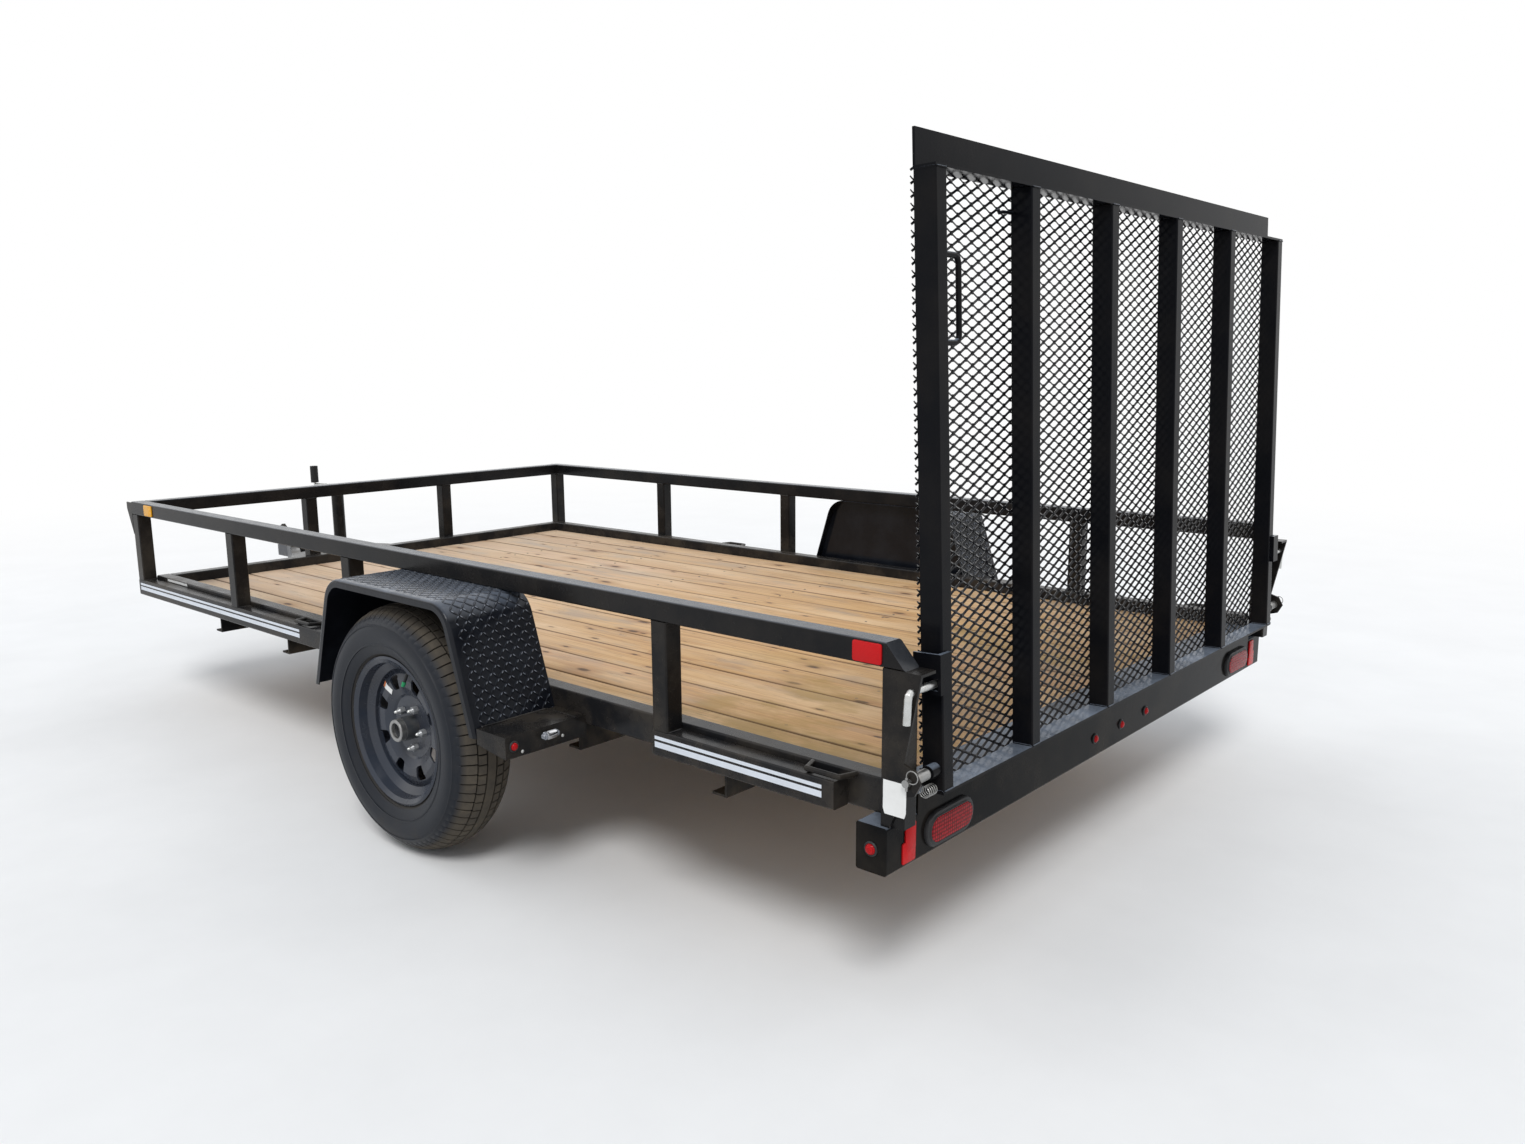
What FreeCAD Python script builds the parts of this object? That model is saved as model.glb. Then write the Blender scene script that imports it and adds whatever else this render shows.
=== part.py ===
import FreeCAD, Part
import math
import os
from FreeCAD import Vector as V

os.makedirs("parts", exist_ok=True)

# Utility trailer with a steel side rail, a mesh ramp gate at the back and one axle.
# Millimetres. +X runs forward to the coupler, +Y to the left, +Z up, ground at Z = 0.
# X is counted from the back end of the top rails and centred on the whole length at export.

# Wheels
TYRE_R = 344.0
TYRE_HALF = 94.0            # half of the tyre's width
SHOULDER = 36.0             # tyre's widest part in to the edge of the tread
RIM_R = 208.0
RIM_HALF = 76.0
BEAD_R = RIM_R - 18.0       # seat of the tyre's bead
WHEEL_ROOM = 53.2           # tyre to the fender's top sheet
TYRE_GAP = 68.8             # side rail to the tyre's inner face
AXLE_X = 1488.0
AXLE_Z = TYRE_R
LUG_PCD_R = 57.15
NUT_R = 10.5
NUT_TURN = 41.5
PAD_R = LUG_PCD_R + 29.0    # flat pad of the rim's disc, bolted to the hub
PAD_Y = 9.0                 # wheel's middle plane to the back of that pad
DISC_T = 5.0
DISC_R = BEAD_R - 22.0
CROWN = 19.0                # crown of the disc over its pad
WINDOW_SHARES = (0.28, 0.76)
FLANGE_R = 70.0
BARREL_R = 33.0             # hub's barrel through the rim
BARREL_END = 68.0           # wheel's middle plane to the end of the barrel
CAP_R = 30.5                # sleeve on the end of the barrel
CAP_L = 17.0
CAP_MOUTH_R = 21.0
CAP_DEPTH = 9.0
SPINDLE_R = 17.5
BEARING_GAP = 1.0

# Deck and side rail
TUBE = 50.8                 # square tube of rails, posts and gate
TUBE_R = 5.0                # outer corner radius of that tube
DECK_LENGTH = 3658.0        # back end of the top rail to its front face
HALF_WIDTH = 1077.0         # centre line to the outer face of the rails
FRAME_LOW = AXLE_Z + 72.0   # underside of the main frame, top of the cross members
FRAME_H = 76.2
FRAME_TOP = FRAME_LOW + FRAME_H
RAIL_LOW = 2 * TYRE_R + WHEEL_ROOM
RAIL_TOP = RAIL_LOW + TUBE
FRAME_OUT = HALF_WIDTH - TUBE
FRAME_IN = FRAME_OUT - TUBE
FRAME_REAR = 6.0
FRONT_IN = DECK_LENGTH - TUBE
RUB_H = 62.0                # outer rub rail that carries the posts
LEDGE = FRAME_LOW + RUB_H
RUB_REAR = 125.0
RAIL_BACK = -46.0           # foot of the rail's sloped back end

# Posts: name, back face X on the side rails
FRONT_POST = 868.0          # deck's front face back to the front post
MIDDLE_POST = 512.0         # axle forward to the middle post
SIDE_POSTS = (("front", DECK_LENGTH - FRONT_POST), ("middle", AXLE_X + MIDDLE_POST), ("rear", 611.0))
FRONT_POST_Y = 347.0
GUSSET_REACH = 46.0
GUSSET_DROP = 130.0
GUSSET_T = 5.0

# Cross members and boards
CROSS_REAR = 473.0
CROSS_FRONT = DECK_LENGTH - 605.0
CROSS_COUNT = 6
CROSS_H = 76.0
CROSS_FLANGE = 46.0
CROSS_T = 6.0
BOARD_T = 38.0
BOARD_COUNT = 13
BOARD_GAP = 4.0
BOARD_REAR = 78.0
DECK_TOP = FRAME_LOW + BOARD_T

# Rear header
HEADER_REAR = -15.0
HEADER_D = 76.0
HEADER_H = 102.0
HEADER_HALF = HALF_WIDTH + 8.0
HEADER_TOP = FRAME_LOW
HEADER_LOW = HEADER_TOP - HEADER_H
HEADER_MID = HEADER_TOP - HEADER_H / 2
SILL_T = 4.0                # bent sheet over the back ends of the boards

# Tongue, coupler and jack
TONGUE_H = 102.0
TONGUE_FLANGE = 40.0
TONGUE_T = 6.0
TONGUE_ANGLE = 25.0
TONGUE_REACH = 782.0        # deck's front face to the coupler's back end
TONGUE_TIP = DECK_LENGTH + TONGUE_REACH
TONGUE_TIP_HALF = 52.0
TONGUE_LOW = FRAME_LOW - TONGUE_H
COUPLER_LENGTH = 152.0      # coupler's back end to the ball's centre
COUPLER_ROOT = 60.0         # tapered stretch behind the neck
BALL_X = TONGUE_TIP + COUPLER_LENGTH
BALL_R = 25.9               # socket for a 50.8 mm ball
BALL_WALL = 12.1
BALL_Z = FRAME_LOW - 44.0
SOCKET_LOW = BALL_Z - 30.0
COUPLER_R = BALL_R + BALL_WALL
COUPLER_TOP = BALL_Z + COUPLER_R
JACK_X = TONGUE_TIP - 420.0
JACK_R = 28.5
JACK_WALL = 3.0
JACK_GAP = 1.0
JACK_TOP = FRAME_LOW + 296.0
JACK_LOW = FRAME_LOW - 166.0
JACK_PLATE = 85.0           # half length of the plate under the jack
JACK_PLATE_T = 8.0
JACK_FLANGE_R = 64.0
LEG_R = JACK_R - JACK_WALL - JACK_GAP
LEG_TOP = JACK_TOP - 204.0
FOOT_R = 75.0
FOOT_T = 8.0
CRANK_R = 6.0
CRANK_X = 112.0
CRANK_Y = 52.0
GRIP_R = 18.0
GRIP_H = 80.0

# Axle and springs
BEAM_R = 30.0
DROP = 102.0
BEAM_Z = AXLE_Z - DROP
BEAM_HALF = FRAME_OUT + 9.8
DROP_ARM_T = 22.0
SPRING_Y = FRAME_OUT - TUBE / 2
SPRING_HALF_W = 22.0
SPRING_HALF_L = 330.0
SPRING_SEAT = 6.0           # pad between the axle and the lowest leaf
SEAT_HALF = 40.0
LEAF_T = 7.0
EYE_R = 15.0
EYE_PIN_R = 7.0
EYE_REACH = SPRING_HALF_L + 6.0
EYE_Z = FRAME_LOW - 50.0
HANGER_T = 3.0
HANGER_HALF = 34.0
HANGERS_X = (AXLE_X - EYE_REACH, AXLE_X + EYE_REACH)
# Leaves: share of the half length, place from the bottom
LEAVES = ((1.0, 2), (0.74, 1), (0.50, 0))

# Fenders
FENDER_X = AXLE_X - 14.0
FENDER_TOP = RAIL_LOW
FENDER_LOW = FRAME_LOW - 1.0
FENDER_HALF_LOW = TYRE_R + 49.0
FENDER_SLANT = 18.0
FENDER_R = 85.0
FENDER_T = 3.0
FENDER_ROLL = 9.0           # rounding of the outer edge
FENDER_OUT = FRAME_OUT + TYRE_GAP + 2 * TYRE_HALF
FENDER_LIP = 22.0
FENDER_WALL_OUT = FRAME_OUT + 34.0
WHEEL_Y = FENDER_OUT - TYRE_HALF
LAMP_BOX_L = 116.0
LAMP_BOX_T = 4.0
LAMP_BOX_INSET = 6.0
LAMP_BOX_TOP = FENDER_LOW + 26.0
LAMP_BOX_LOW = FENDER_LOW - 30.0
LAMP_BOX_RISE = 16.0        # side plates are lower at the back
LAMP_BOX_REAR = FENDER_X - FENDER_HALF_LOW - LAMP_BOX_L

# Gate, hinged on pins beside the feet of its outer uprights
GATE_SIDE = 95.0            # rail's outer face to the gate's side
GATE_HALF = HALF_WIDTH - GATE_SIDE
GATE_FRONT = -27.0
GATE_BAR = 38.1             # uprights across the gate, TUBE deep
GATE_BAR_R = 3.5
GATE_REAR = GATE_FRONT - TUBE
GATE_T = 6.0                # flat foot bar and top angle
GATE_LOW = FRAME_LOW + 56.0
GATE_FOOT = GATE_LOW + GATE_T
GATE_HEIGHT = 1216.0
GATE_TOP = GATE_LOW + GATE_HEIGHT
GATE_LIP = 70.0
GATE_LEAN = 2.3
HINGE_X = GATE_FRONT - 31.0
HINGE_Z = GATE_FOOT + 44.0
PIN_R = 8.0
PIN_FIT = 0.1
BUSH_R = 15.0
BUSH_OUT = GATE_HALF + 28.0
BUSH_BORE = PIN_R + 1.0
COLLAR_R = 12.0
COLLAR_GAP = 6.0
MESH_LWD = 50.8
MESH_SWD = 24.5
MESH_T = 3.0
STRAND_W = 3.6
UPRIGHTS = 6
UPRIGHT_SHIFT = 20.0        # inner uprights stand a little to the left of an even spacing
HANDLE_TOP = GATE_TOP - 161.0
HANDLE_LENGTH = 165.0
HANDLE_LOW = HANDLE_TOP - HANDLE_LENGTH
HANDLE_R = 6.0
HANDLE_REACH = 56.0
HANDLE_BEND = 14.0

# Latch posts and pins
LATCH_X = -62.0
LATCH_Z = RAIL_TOP - 88.0
LATCH_PIN_R = 8.0
LATCH_HANG = 62.0          # drop of the pin's bent end
POST_FRONT = 6.0
POST_BACK = POST_FRONT - TUBE
WING_T = 6.0
WING_BACK = LATCH_X - 21.0
EAR_IN = GATE_HALF + 14.0
EAR_OUT = EAR_IN + 6.0
EAR_BACK = LATCH_X - 25.0

# Loops and lamps
LOOP_R = 6.0
LOOP_LENGTH = 114.0
LOOP_REACH = 40.0
LOOP_SLANT = 14.0
LOOP_AHEAD = 800.0          # axle forward to the front loops
LOOP_X = (105.0, AXLE_X + LOOP_AHEAD)
TAIL_LAMP_Y = HALF_WIDTH - 217.0
TAIL_LAMP_FLAT = 53.0
TAIL_LAMP_R = 28.5
LAMP_DEPTH = 14.0
MARKER_PITCH = 157.0
MARKER_R = 14.0
MARKER_DEPTH = 10.0
REFLECTOR_L = 70.0
REFLECTOR_H = 42.0
REFLECTOR_T = 4.0
REFLECTOR_X = (8.0, DECK_LENGTH - 197.0)
REAR_REFLECTOR_Y = HEADER_HALF - 99.0
REAR_REFLECTOR_W = 46.0


def box(x0, x1, y0, y1, z0, z1):
    """Block between the two corners."""
    return Part.makeBox(x1 - x0, y1 - y0, z1 - z0, V(x0, y0, z0))


def prism(points, direction):
    """Solid from a closed outline pushed along a direction."""
    wire = Part.makePolygon([V(*p) for p in points + [points[0]]])
    return Part.Face(wire).extrude(V(*direction))


def tube_x(x0, x1, y, z, width=TUBE, height=TUBE, radius=TUBE_R):
    """Square tube along X, given its lower Y and Z faces, with rounded long edges."""
    body = box(x0, x1, y, y + width, z, z + height)
    edges = [e for e in body.Edges if abs(e.tangentAt(e.FirstParameter).x) > 0.9]
    return body.makeFillet(radius, edges)


def tube_y(y0, y1, x, z, width=TUBE, height=TUBE, radius=TUBE_R):
    """Square tube along Y, given its lower X and Z faces."""
    body = box(x, x + width, y0, y1, z, z + height)
    edges = [e for e in body.Edges if abs(e.tangentAt(e.FirstParameter).y) > 0.9]
    return body.makeFillet(radius, edges)


def tube_z(z0, z1, x, y, width=TUBE, depth=TUBE, radius=TUBE_R):
    """Square tube along Z, given its lower X and Y faces."""
    body = box(x, x + width, y, y + depth, z0, z1)
    edges = [e for e in body.Edges if abs(e.tangentAt(e.FirstParameter).z) > 0.9]
    return body.makeFillet(radius, edges)


def rod(a, b, r):
    """Round bar between two points."""
    a, b = V(*a), V(*b)
    return Part.makeCylinder(r, (b - a).Length, a, b - a)


def bent_rod(points, r):
    """Round bar along a row of points with ball joints at the bends."""
    body = None
    for a, b in zip(points, points[1:]):
        piece = rod(a, b, r)
        body = piece if body is None else body.fuse(piece)
    for p in points[1:-1]:
        body = body.fuse(Part.makeSphere(r, V(*p)))
    return body.removeSplitter()


def other_side(shape):
    """The same piece on the right-hand side."""
    return shape.mirror(V(0, 0, 0), V(0, 1, 0))


def trimmed(shape, block):
    """Bar run a little way into a part and cut off at its face."""
    return shape.cut(block).removeSplitter()


def both(shape):
    """A left-hand piece and its mirror image."""
    return [shape, other_side(shape)]


def turned(profile):
    """Ring turned about a Y axis through the origin from (y, r) points."""
    points = [V(0, y, r) for y, r in profile]
    face = Part.Face(Part.makePolygon(points + [points[0]]))
    return face.revolve(V(0, 0, 0), V(0, 1, 0), 360)


def at_wheel(shape):
    """Piece drawn about the origin moved to the left wheel."""
    moved = shape.copy()
    moved.translate(V(AXLE_X, WHEEL_Y, AXLE_Z))
    return moved


def leaned(shape):
    """Gate piece tipped forward about the hinge pins."""
    moved = shape.copy()
    moved.rotate(V(HINGE_X, 0, HINGE_Z), V(0, 1, 0), GATE_LEAN)
    return moved


def main_frame():
    """Side and front rails round the boards."""
    side = tube_x(FRAME_REAR, FRONT_IN, FRAME_IN, FRAME_LOW, TUBE, FRAME_H)
    front = tube_y(-FRAME_IN, FRAME_IN, FRONT_IN - TUBE, FRAME_LOW, TUBE, FRAME_H)
    return [front.fuse(both(side)).removeSplitter()]


def rub_rail():
    """Outer ledge tubes under the posts, parted at the fenders."""
    back = tube_x(RUB_REAR, SIDE_POSTS[2][1] + TUBE, FRAME_OUT, FRAME_LOW, TUBE, RUB_H)
    reach = FENDER_X + FENDER_HALF_LOW
    side = tube_x(reach, DECK_LENGTH, FRAME_OUT, FRAME_LOW, TUBE, RUB_H)
    front = tube_y(-FRAME_OUT, FRAME_OUT, FRONT_IN, FRAME_LOW, TUBE, RUB_H)
    return both(back) + [front.fuse(both(side)).removeSplitter()]


def rail_profile():
    """Top rail of the left side with its sloped back end."""
    rail = tube_x(RAIL_BACK, DECK_LENGTH, FRAME_OUT, RAIL_LOW)
    slope = prism([(RAIL_BACK, FRAME_OUT, RAIL_LOW), (0.0, FRAME_OUT, RAIL_TOP),
                   (RAIL_BACK, FRAME_OUT, RAIL_TOP)], (0, TUBE, 0))
    return rail.cut(slope)


def top_rail():
    """Rail round both sides and the front."""
    front = tube_y(-FRAME_OUT, FRAME_OUT, FRONT_IN, RAIL_LOW)
    return [front.fuse(both(rail_profile())).removeSplitter()]


def side_posts(sign):
    """Posts of one side, from the ledge to the rail."""
    posts = []
    for _, x in SIDE_POSTS:
        posts.append(tube_z(LEDGE, RAIL_LOW, x, FRAME_OUT))
    posts.append(tube_z(LEDGE, RAIL_LOW, FRONT_IN, FRAME_OUT))
    return posts if sign > 0 else [other_side(p) for p in posts]


def front_posts():
    """Two posts between the front corners."""
    return both(tube_z(LEDGE, RAIL_LOW, FRONT_IN, FRONT_POST_Y - TUBE / 2))


def front_gussets():
    """Small tapered plates standing forward of the front corners."""
    tip = DECK_LENGTH + GUSSET_REACH
    outline = [(DECK_LENGTH, HALF_WIDTH, RAIL_TOP - 4), (tip, HALF_WIDTH, RAIL_TOP - 4),
               (tip, HALF_WIDTH, RAIL_TOP - 30), (DECK_LENGTH, HALF_WIDTH, RAIL_TOP - GUSSET_DROP)]
    return both(prism(outline, (0, -GUSSET_T, 0)))


def latch_post():
    """Back corner post with the wing plate that holds the gate's pins."""
    cap_low = RAIL_LOW - WING_T
    post = tube_z(HEADER_TOP, cap_low, POST_BACK, FRAME_OUT, TUBE, TUBE - WING_T, 4.0)
    outline = [(POST_FRONT, cap_low), (WING_BACK, cap_low), (LATCH_X - 3, LATCH_Z - 59),
               (HINGE_X + 11, HINGE_Z + 34), (HINGE_X - 14, HINGE_Z + 26), (HINGE_X - 28, HINGE_Z),
               (HINGE_X - 14, HINGE_Z - 26), (HINGE_X + 12, HINGE_Z - 34), (HEADER_REAR + 1, HEADER_TOP),
               (POST_FRONT, HEADER_TOP)]
    wing = prism([(x, HALF_WIDTH - WING_T, z) for x, z in outline], (0, WING_T, 0))
    cap = box(WING_BACK, POST_FRONT, FRAME_OUT, HALF_WIDTH, cap_low, RAIL_LOW)
    body = post.fuse([wing, cap])
    for x, z, r in ((HINGE_X, HINGE_Z, PIN_R + PIN_FIT), (LATCH_X, LATCH_Z, LATCH_PIN_R + PIN_FIT)):
        body = body.cut(rod((x, FRAME_OUT, z), (x, HALF_WIDTH, z), r))
    return [body.removeSplitter()]


def rear_header():
    """Box across the back that carries the lamps, with the bent sill over the ends of the boards."""
    body = tube_y(-HEADER_HALF, HEADER_HALF, HEADER_REAR, HEADER_LOW, HEADER_D, HEADER_H, 6.0)
    top = DECK_TOP + SILL_T
    back = box(HEADER_REAR, HEADER_REAR + SILL_T, -FRAME_IN, FRAME_IN, HEADER_TOP - 10, top)
    cover = box(HEADER_REAR, BOARD_REAR - 2, -FRAME_IN, FRAME_IN, DECK_TOP, top)
    return [body.fuse([back, cover]).removeSplitter()]


def meets_hanger(x):
    """Whether a channel with its back at this X would run into a spring hanger."""
    middle = x + CROSS_FLANGE / 2
    return any(abs(middle - at) < HANGER_HALF + CROSS_FLANGE / 2 for at in HANGERS_X)


def cross_members():
    """Channels under the boards, open side forward; one that meets a hanger ends at its inner face."""
    low = FRAME_LOW - CROSS_H
    pitch = (CROSS_FRONT - CROSS_REAR) / (CROSS_COUNT - 1)
    pieces = []
    for i in range(CROSS_COUNT):
        x = CROSS_REAR + i * pitch
        half = FRAME_IN if meets_hanger(x) else FRAME_OUT
        body = box(x, x + CROSS_FLANGE, -half, half, low, FRAME_LOW)
        hollow = box(x + CROSS_T, x + CROSS_FLANGE, -half, half, low + CROSS_T, FRAME_LOW - CROSS_T)
        pieces.append(body.cut(hollow))
    return pieces


def deck_boards():
    """Lengthwise planks between the side rails."""
    width = (2 * FRAME_IN - (BOARD_COUNT + 1) * BOARD_GAP) / BOARD_COUNT
    boards = []
    for i in range(BOARD_COUNT):
        y = -FRAME_IN + BOARD_GAP + i * (width + BOARD_GAP)
        boards.append(box(BOARD_REAR, FRONT_IN - TUBE, y, y + width, FRAME_LOW, DECK_TOP))
    return boards


def tongue_line(x):
    """Y of the leg's outer face at this X."""
    return TONGUE_TIP_HALF + (TONGUE_TIP - x) * math.tan(math.radians(TONGUE_ANGLE))


def tongue():
    """Two channel legs from the coupler back to the front cross member, with the jack plate."""
    x0 = CROSS_FRONT + CROSS_FLANGE
    across = TONGUE_FLANGE / math.cos(math.radians(TONGUE_ANGLE))
    web = TONGUE_T / math.cos(math.radians(TONGUE_ANGLE))

    def slab(inset_out, inset_in, z0, z1):
        ya, yb = tongue_line(x0), tongue_line(TONGUE_TIP)
        outline = [(x0, ya - inset_out, z0), (TONGUE_TIP, yb - inset_out, z0),
                   (TONGUE_TIP, yb - inset_in, z0), (x0, ya - inset_in, z0)]
        return prism(outline, (0, 0, z1 - z0))

    leg = slab(0, across, TONGUE_LOW, FRAME_LOW)
    leg = leg.cut(slab(web, across, TONGUE_LOW + TONGUE_T, FRAME_LOW - TONGUE_T))
    back, ahead = JACK_X - JACK_PLATE, JACK_X + JACK_PLATE
    plate = prism([(back, -tongue_line(back), FRAME_LOW), (ahead, -tongue_line(ahead), FRAME_LOW),
                   (ahead, tongue_line(ahead), FRAME_LOW), (back, tongue_line(back), FRAME_LOW)],
                  (0, 0, JACK_PLATE_T))
    plate = plate.cut(rod((JACK_X, 0, FRAME_LOW), (JACK_X, 0, FRAME_LOW + JACK_PLATE_T), JACK_R))
    return [plate.fuse(both(leg)).removeSplitter()]


def coupler():
    """Ball coupler with a domed nose and an open socket underneath."""
    back = TONGUE_TIP
    neck_x = back + COUPLER_ROOT
    outline = [(back, -TONGUE_TIP_HALF, TONGUE_LOW), (neck_x, -COUPLER_R, TONGUE_LOW),
               (neck_x, COUPLER_R, TONGUE_LOW), (back, TONGUE_TIP_HALF, TONGUE_LOW)]
    root = prism(outline, (0, 0, TONGUE_H))
    neck = box(neck_x, BALL_X, -COUPLER_R, COUPLER_R, SOCKET_LOW, COUPLER_TOP)
    barrel = Part.makeCylinder(COUPLER_R, COUPLER_TOP - 14 - SOCKET_LOW, V(BALL_X, 0, SOCKET_LOW))
    dome = Part.makeSphere(COUPLER_R, V(BALL_X, 0, BALL_Z))
    body = root.fuse([neck, barrel.fuse(dome)])
    body = body.cut(Part.makeSphere(BALL_R, V(BALL_X, 0, BALL_Z)))
    body = body.cut(rod((BALL_X, 0, BALL_Z - COUPLER_R), (BALL_X, 0, BALL_Z), BALL_R))
    return [body.removeSplitter()]


def coupler_latch():
    """Lever standing over the coupler."""
    z = COUPLER_TOP
    stem = box(BALL_X - 84, BALL_X - 50, -12, 12, z, z + 22)
    lever = prism([(BALL_X - 96, -9, z + 22), (BALL_X - 40, -9, z + 22), (BALL_X + 22, -9, z + 82),
                   (BALL_X + 6, -9, z + 92), (BALL_X - 60, -9, z + 46), (BALL_X - 96, -9, z + 40)],
                  (0, 18, 0))
    return [stem.fuse(lever).removeSplitter()]


def jack_housing():
    """Outer tube of the tongue jack with its flange and cap."""
    tube = Part.makeCylinder(JACK_R, JACK_TOP - JACK_LOW, V(JACK_X, 0, JACK_LOW))
    bore = Part.makeCylinder(LEG_R + JACK_GAP, JACK_TOP - JACK_LOW - 12, V(JACK_X, 0, JACK_LOW))
    flange = Part.makeCylinder(JACK_FLANGE_R, 8, V(JACK_X, 0, FRAME_LOW + JACK_PLATE_T))
    cap = Part.makeCylinder(JACK_R + 3, 16, V(JACK_X, 0, JACK_TOP))
    return [tube.fuse([flange, cap]).cut(bore).removeSplitter()]


def jack_crank():
    """Crank arm over the jack."""
    z = JACK_TOP + 16
    x = JACK_X + CRANK_X
    return [bent_rod([(JACK_X, 0, z), (JACK_X, 0, z + 16), (x, CRANK_Y, z + 16),
                      (x, CRANK_Y, z + 26)], CRANK_R)]


def jack_grip():
    """Turning handle of the crank."""
    z = JACK_TOP + 42
    return [Part.makeCylinder(GRIP_R, GRIP_H, V(JACK_X + CRANK_X, CRANK_Y, z))]


def jack_leg():
    """Inner tube and foot plate, standing on the ground."""
    leg = Part.makeCylinder(LEG_R, LEG_TOP - FOOT_T, V(JACK_X, 0, FOOT_T))
    foot = Part.makeCylinder(FOOT_R, FOOT_T, V(JACK_X, 0, 0))
    return [leg.fuse(foot).removeSplitter()]


def fender_outline(inset):
    """Arch outline in XZ, moved inwards by the inset, open at the foot."""
    k = math.tan(math.radians(FENDER_SLANT))
    rise = FENDER_TOP - FENDER_LOW
    top_half = FENDER_HALF_LOW - rise * k
    slip = inset * (1 / math.cos(math.radians(FENDER_SLANT)) - k)
    a = V(FENDER_X - FENDER_HALF_LOW + inset / math.cos(math.radians(FENDER_SLANT)), 0, FENDER_LOW)
    b = V(FENDER_X - top_half + slip, 0, FENDER_TOP - inset)
    c = V(2 * FENDER_X - b.x, 0, b.z)
    d = V(2 * FENDER_X - a.x, 0, a.z)
    return a, b, c, d


def fender_block(inset, y0, y1, roll=0.0):
    """Solid under the arch outline between two Y planes, its outer edge rolled over if asked."""
    a, b, c, d = fender_outline(inset)
    body = Part.Face(Part.makePolygon([a, b, c, d, a])).extrude(V(0, y1 - y0, 0))
    body.translate(V(0, y0, 0))
    edges = [e for e in body.Edges if abs(e.Vertexes[0].Z - b.z) < 0.01
             and abs(e.Vertexes[-1].Z - b.z) < 0.01 and abs(e.Vertexes[0].Y - e.Vertexes[-1].Y) > 1]
    body = body.makeFillet(FENDER_R - inset, edges)
    if roll > 0:
        edges = [e for e in body.Edges if e.BoundBox.YMin > y1 - 0.01 and e.BoundBox.ZMax > a.z + 1]
        body = body.makeFillet(roll, edges)
    return body


def fender():
    """Bent sheet over the wheel with a rolled outer edge and an inner wall."""
    shell = fender_block(0, FRAME_OUT, FENDER_OUT, FENDER_ROLL)
    shell = shell.cut(fender_block(FENDER_T, FRAME_OUT, FENDER_OUT - FENDER_T, FENDER_ROLL - FENDER_T))
    shell = shell.cut(fender_block(FENDER_LIP, FENDER_WALL_OUT, FENDER_OUT))
    wall = fender_block(0, FENDER_WALL_OUT - FENDER_T, FENDER_WALL_OUT)
    skirt = box(FENDER_X - FENDER_HALF_LOW, FENDER_X + FENDER_HALF_LOW, FRAME_OUT,
                FENDER_WALL_OUT - FENDER_T, FENDER_LOW, FENDER_LOW + FENDER_T)
    return [shell.fuse([wall, skirt]).removeSplitter()]


def fender_boxes():
    """Lamp boxes behind the fenders, on brackets from the frame."""
    x0, x1, y0, y1 = LAMP_BOX_REAR, LAMP_BOX_REAR + LAMP_BOX_L, FRAME_OUT, FENDER_OUT - LAMP_BOX_INSET
    t = LAMP_BOX_T
    body = prism([(x0, y0, LAMP_BOX_LOW), (x1, y0, LAMP_BOX_LOW + LAMP_BOX_RISE), (x1, y0, LAMP_BOX_TOP),
                  (x0, y0, LAMP_BOX_TOP)], (0, y1 - y0, 0))
    hollow = box(x0 + t, x1 - t, y0 + t, y1 - t, LAMP_BOX_LOW - t, LAMP_BOX_TOP - t)
    return both(body.cut(hollow))


def axle_beam():
    """Drop axle: low beam, end arms and wheel spindles."""
    beam = rod((AXLE_X, -BEAM_HALF, BEAM_Z), (AXLE_X, BEAM_HALF, BEAM_Z), BEAM_R)
    arm = box(AXLE_X - BEAM_R, AXLE_X + BEAM_R, BEAM_HALF, BEAM_HALF + DROP_ARM_T,
              BEAM_Z - BEAM_R, AXLE_Z + BEAM_R)
    spindle = rod((AXLE_X, BEAM_HALF + DROP_ARM_T, AXLE_Z), (AXLE_X, WHEEL_Y + 30, AXLE_Z), SPINDLE_R)
    end = arm.fuse(spindle)
    return [beam.fuse(both(end)).removeSplitter()]


def leaf(share, place):
    """One curved leaf of the left spring; place 0 lies on the axle's seat."""
    low = BEAM_Z + BEAM_R + SPRING_SEAT
    sag = EYE_Z - (len(LEAVES) - 1) * LEAF_T - low
    half = SPRING_HALF_L
    outer = (half * half + sag * sag) / (2 * sag)
    inner = outer - LEAF_T
    centre_z = low + place * LEAF_T + outer
    reach = half * share

    def point(r, x):
        return V(AXLE_X + x, SPRING_Y - SPRING_HALF_W, centre_z - math.sqrt(r * r - x * x))

    lower = Part.Arc(point(outer, -reach), point(outer, 0.0), point(outer, reach)).toShape()
    upper = Part.Arc(point(inner, -reach), point(inner, 0.0), point(inner, reach)).toShape()
    left = Part.makeLine(lower.Vertexes[0].Point, upper.Vertexes[0].Point)
    right = Part.makeLine(lower.Vertexes[-1].Point, upper.Vertexes[-1].Point)
    face = Part.Face(Part.Wire([lower, right, upper, left]))
    return face.extrude(V(0, 2 * SPRING_HALF_W, 0))


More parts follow.
